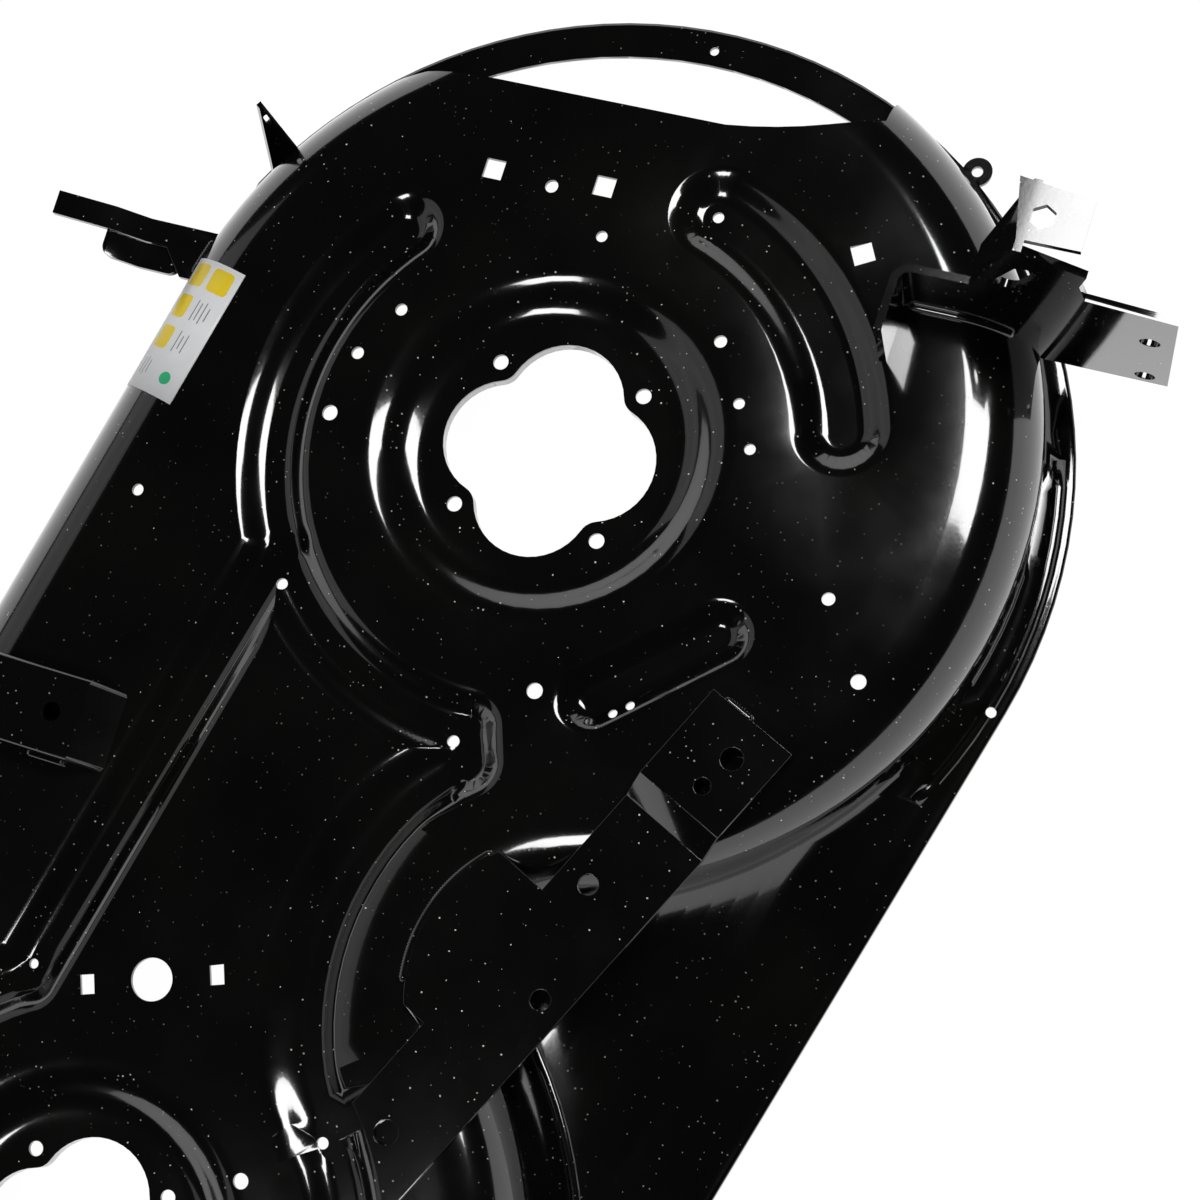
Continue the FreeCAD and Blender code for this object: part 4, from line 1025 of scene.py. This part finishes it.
@dataclass
class Welds:
    """All the weld beads of the deck."""

    arc_radius: float = 87.4
    arc_span: Span = (44.5, 101.2)
    arc_level: float = 0.9
    arc_points: int = 40
    plate_turn: float = -24.15
    end_x: float = -40.6
    end_span: Span = (-162.8, -181.2)
    wheel_x: float = 119.6
    wheel_span: Span = (-160.5, -214.0)
    wheel_points: int = 12
    box_x: float = -238.4
    box_span: Span = (210.0, 234.0)
    box_level: float = 0.6
    strap_span: Span = (57.5, 79.0)
    strap_level: float = -32.0
    strap_points: int = 6

    def on_shoulder(self, x: float, y: float) -> Triple:
        """A point of the rear wall's outer face.

        Args:
            x: its place along X.
            y: its place along Y.

        Returns:
            The point, as high as the top or the shoulder is there.
        """
        inside = REAR_RADIUS - math.hypot(x - REAR_WALL[0], y - REAR_WALL[1])
        drop = 0.0
        if inside < SHOULDER:
            drop = SHOULDER - math.sqrt(SHOULDER ** 2 - (SHOULDER - inside) ** 2)
        return (x, y, -drop)

    def build(self, coat: bpy.types.Material) -> None:
        """Model and dress each bead.

        Args:
            coat: the beads' finish.
        """
        ways = np.radians(np.linspace(*self.arc_span, self.arc_points))
        arc = [(VALLEY[0] + self.arc_radius * math.cos(way), VALLEY[1] + self.arc_radius * math.sin(way),
                self.arc_level) for way in ways]
        turn = Matrix.Rotation(math.radians(self.plate_turn), 3, "Z")
        end = [tuple(turn @ Vector((self.end_x, y, self.arc_level))) for y in self.end_span]
        wheel = [self.on_shoulder(self.wheel_x, y)
                 for y in np.linspace(*self.wheel_span, self.wheel_points)]
        box = [(self.box_x, y, self.box_level) for y in self.box_span]
        strap = [(x, math.sqrt(FRONT_RADIUS ** 2 - x ** 2), self.strap_level)
                 for x in np.linspace(*self.strap_span, self.strap_points)]
        for node, name, path, radius in (
                ("rear_plate_arc_weld", "rear_plate_arc_bead", arc, 2.6),
                ("rear_plate_end_weld", "rear_plate_end_bead", end, 2.4),
                ("wheel_bracket_weld", "wheel_bracket_bead", wheel, 2.7),
                ("front_bracket_weld", "front_bracket_bead", box, 2.4),
                ("front_strap_weld", "front_strap_bead", strap, 2.8)):
            WeldBead(node, name, path, radius).build(coat)


# The studio.

@dataclass(frozen=True)
class Softbox:
    """A rectangular studio light that faces a point, in metres."""

    name: str
    place: Triple
    aim: Triple
    width: float
    height: float
    radiance: float

    def build(self) -> bpy.types.Object:
        """Set the light up, with its power worked out from the radiance of its face.

        Returns:
            The light's object.
        """
        light = bpy.data.lights.new(self.name, "AREA")
        light.shape = "RECTANGLE"
        light.size = self.width
        light.size_y = self.height
        light.energy = self.radiance * math.pi * self.width * self.height
        lamp = bpy.data.objects.new(self.name, light)
        way = Vector(self.aim) - Vector(self.place)
        turn = way.to_track_quat("-Z", "Y").to_matrix().to_4x4()
        lamp.matrix_world = Matrix.Translation(Vector(self.place) + HOME * MM) @ turn
        bpy.context.scene.collection.objects.link(lamp)
        return lamp


@dataclass
class Studio:
    """Camera, lights, floor and the low pale wall round it, in metres but for the lens."""

    eye: Triple = (-0.2918, -0.3422, 1.2333)
    right: Triple = (0.31219, -0.90771, -0.28037)
    down: Triple = (-0.94922, -0.28595, -0.13118)
    forward: Triple = (0.03890, 0.30709, -0.95089)
    focal: float = 72.0
    sensor: float = 36.0
    near: float = 0.01
    shift: Point = (0.239, 0.206)
    floor_middle: Triple = (-0.2, 0.05, -0.0715)
    floor_radius: float = 3.4
    floor_sides: int = 96
    wall_height: float = 0.9
    wall_corner: float = 0.35
    corner_steps: int = 8
    ceiling_glow: float = 0.012
    lights: tuple[Softbox, ...] = (
        Softbox("rear_overhead", (0.64, -0.57, 1.5), (0.64, -0.57, 0.0), 0.5, 1.02, 13.5),
        Softbox("left_overhead", (-0.85, 0.1, 1.5), (-0.85, 0.1, 0.0), 0.4, 0.5, 13.0),
        Softbox("front_wall_core", (-0.2, 2.4, 1.6), (0.0, 0.0, 0.0), 1.9, 0.7, 0.4),
        Softbox("front_wall_middle", (-0.2, 2.4, 1.6), (0.0, 0.0, 0.0), 2.5, 1.2, 0.45),
        Softbox("front_wall_edge", (-0.2, 2.4, 1.6), (0.0, 0.0, 0.0), 3.1, 1.7, 0.4),
    )

    def build_camera(self) -> None:
        """The camera at the photograph's place, with the shift of a picture cropped off its middle."""
        data = bpy.data.cameras.new("camera")
        data.lens = self.focal
        data.sensor_width = self.sensor
        data.shift_x, data.shift_y = self.shift
        data.clip_start = self.near
        camera = bpy.data.objects.new("camera", data)
        columns = (Vector(self.right), -Vector(self.down), -Vector(self.forward))
        turn = Matrix(columns).transposed().to_4x4()
        camera.matrix_world = Matrix.Translation(Vector(self.eye) + HOME * MM) @ turn
        bpy.context.scene.collection.objects.link(camera)
        bpy.context.scene.camera = camera

    def build_ground(self) -> None:
        """The floor and its low wall, as one round tray with a soft corner."""
        mesh = bmesh.new()
        bmesh.ops.create_circle(mesh, cap_ends=True, segments=self.floor_sides, radius=self.floor_radius)
        rim = [edge for edge in mesh.edges if edge.is_boundary]
        grown = bmesh.ops.extrude_edge_only(mesh, edges=rim)["geom"]
        lifted = [item for item in grown if isinstance(item, bmesh.types.BMVert)]
        bmesh.ops.translate(mesh, vec=(0.0, 0.0, self.wall_height), verts=lifted)
        bmesh.ops.bevel(mesh, geom=rim, affect="EDGES", offset=self.wall_corner,
                        segments=self.corner_steps, profile=0.5, material=-1)
        bmesh.ops.translate(mesh, vec=Vector(self.floor_middle) + HOME * MM, verts=mesh.verts)
        ground = to_object(mesh, "studio_ground", PaleGround("pale_ground").build())

    def build_ceiling(self) -> None:
        """The dim surroundings above the wall."""
        world = bpy.data.worlds.new("dim_room")
        bpy.context.scene.world = world
        world.use_nodes = True
        sky = world.node_tree.nodes["Background"]
        sky.inputs["Color"].default_value = (1.0, 1.0, 1.0, 1.0)
        sky.inputs["Strength"].default_value = self.ceiling_glow

    def build(self) -> None:
        """Set the whole studio up."""
        self.build_camera()
        self.build_ground()
        self.build_ceiling()
        for light in self.lights:
            light.build()
        bpy.context.scene.view_settings.view_transform = "Standard"


def main() -> None:
    """Build the deck's pieces in order and set the studio round them."""
    logging.basicConfig(level=logging.INFO, format="%(message)s")
    coat = GlossCoat("black_coat").build()
    weld_coat = GlossCoat("coated_weld", peel_size=1.4, peel_depth=0.03).build()
    paper = StickerPrint().build()
    DeckShell().build(coat)
    for node, name in (("rear_plate", "rear_hanger_plate"), ("wheel_bracket", "wheel_carrier_bracket"),
                       ("front_bracket", "front_box_bracket"), ("front_strap", "front_joggled_strap"),
                       ("front_tab", "front_slotted_tab")):
        FoldedPart(node, name).build(coat)
    Welds().build(weld_coat)
    Sticker().build(paper)
    Studio().build()


if __name__ == "__main__":
    main()
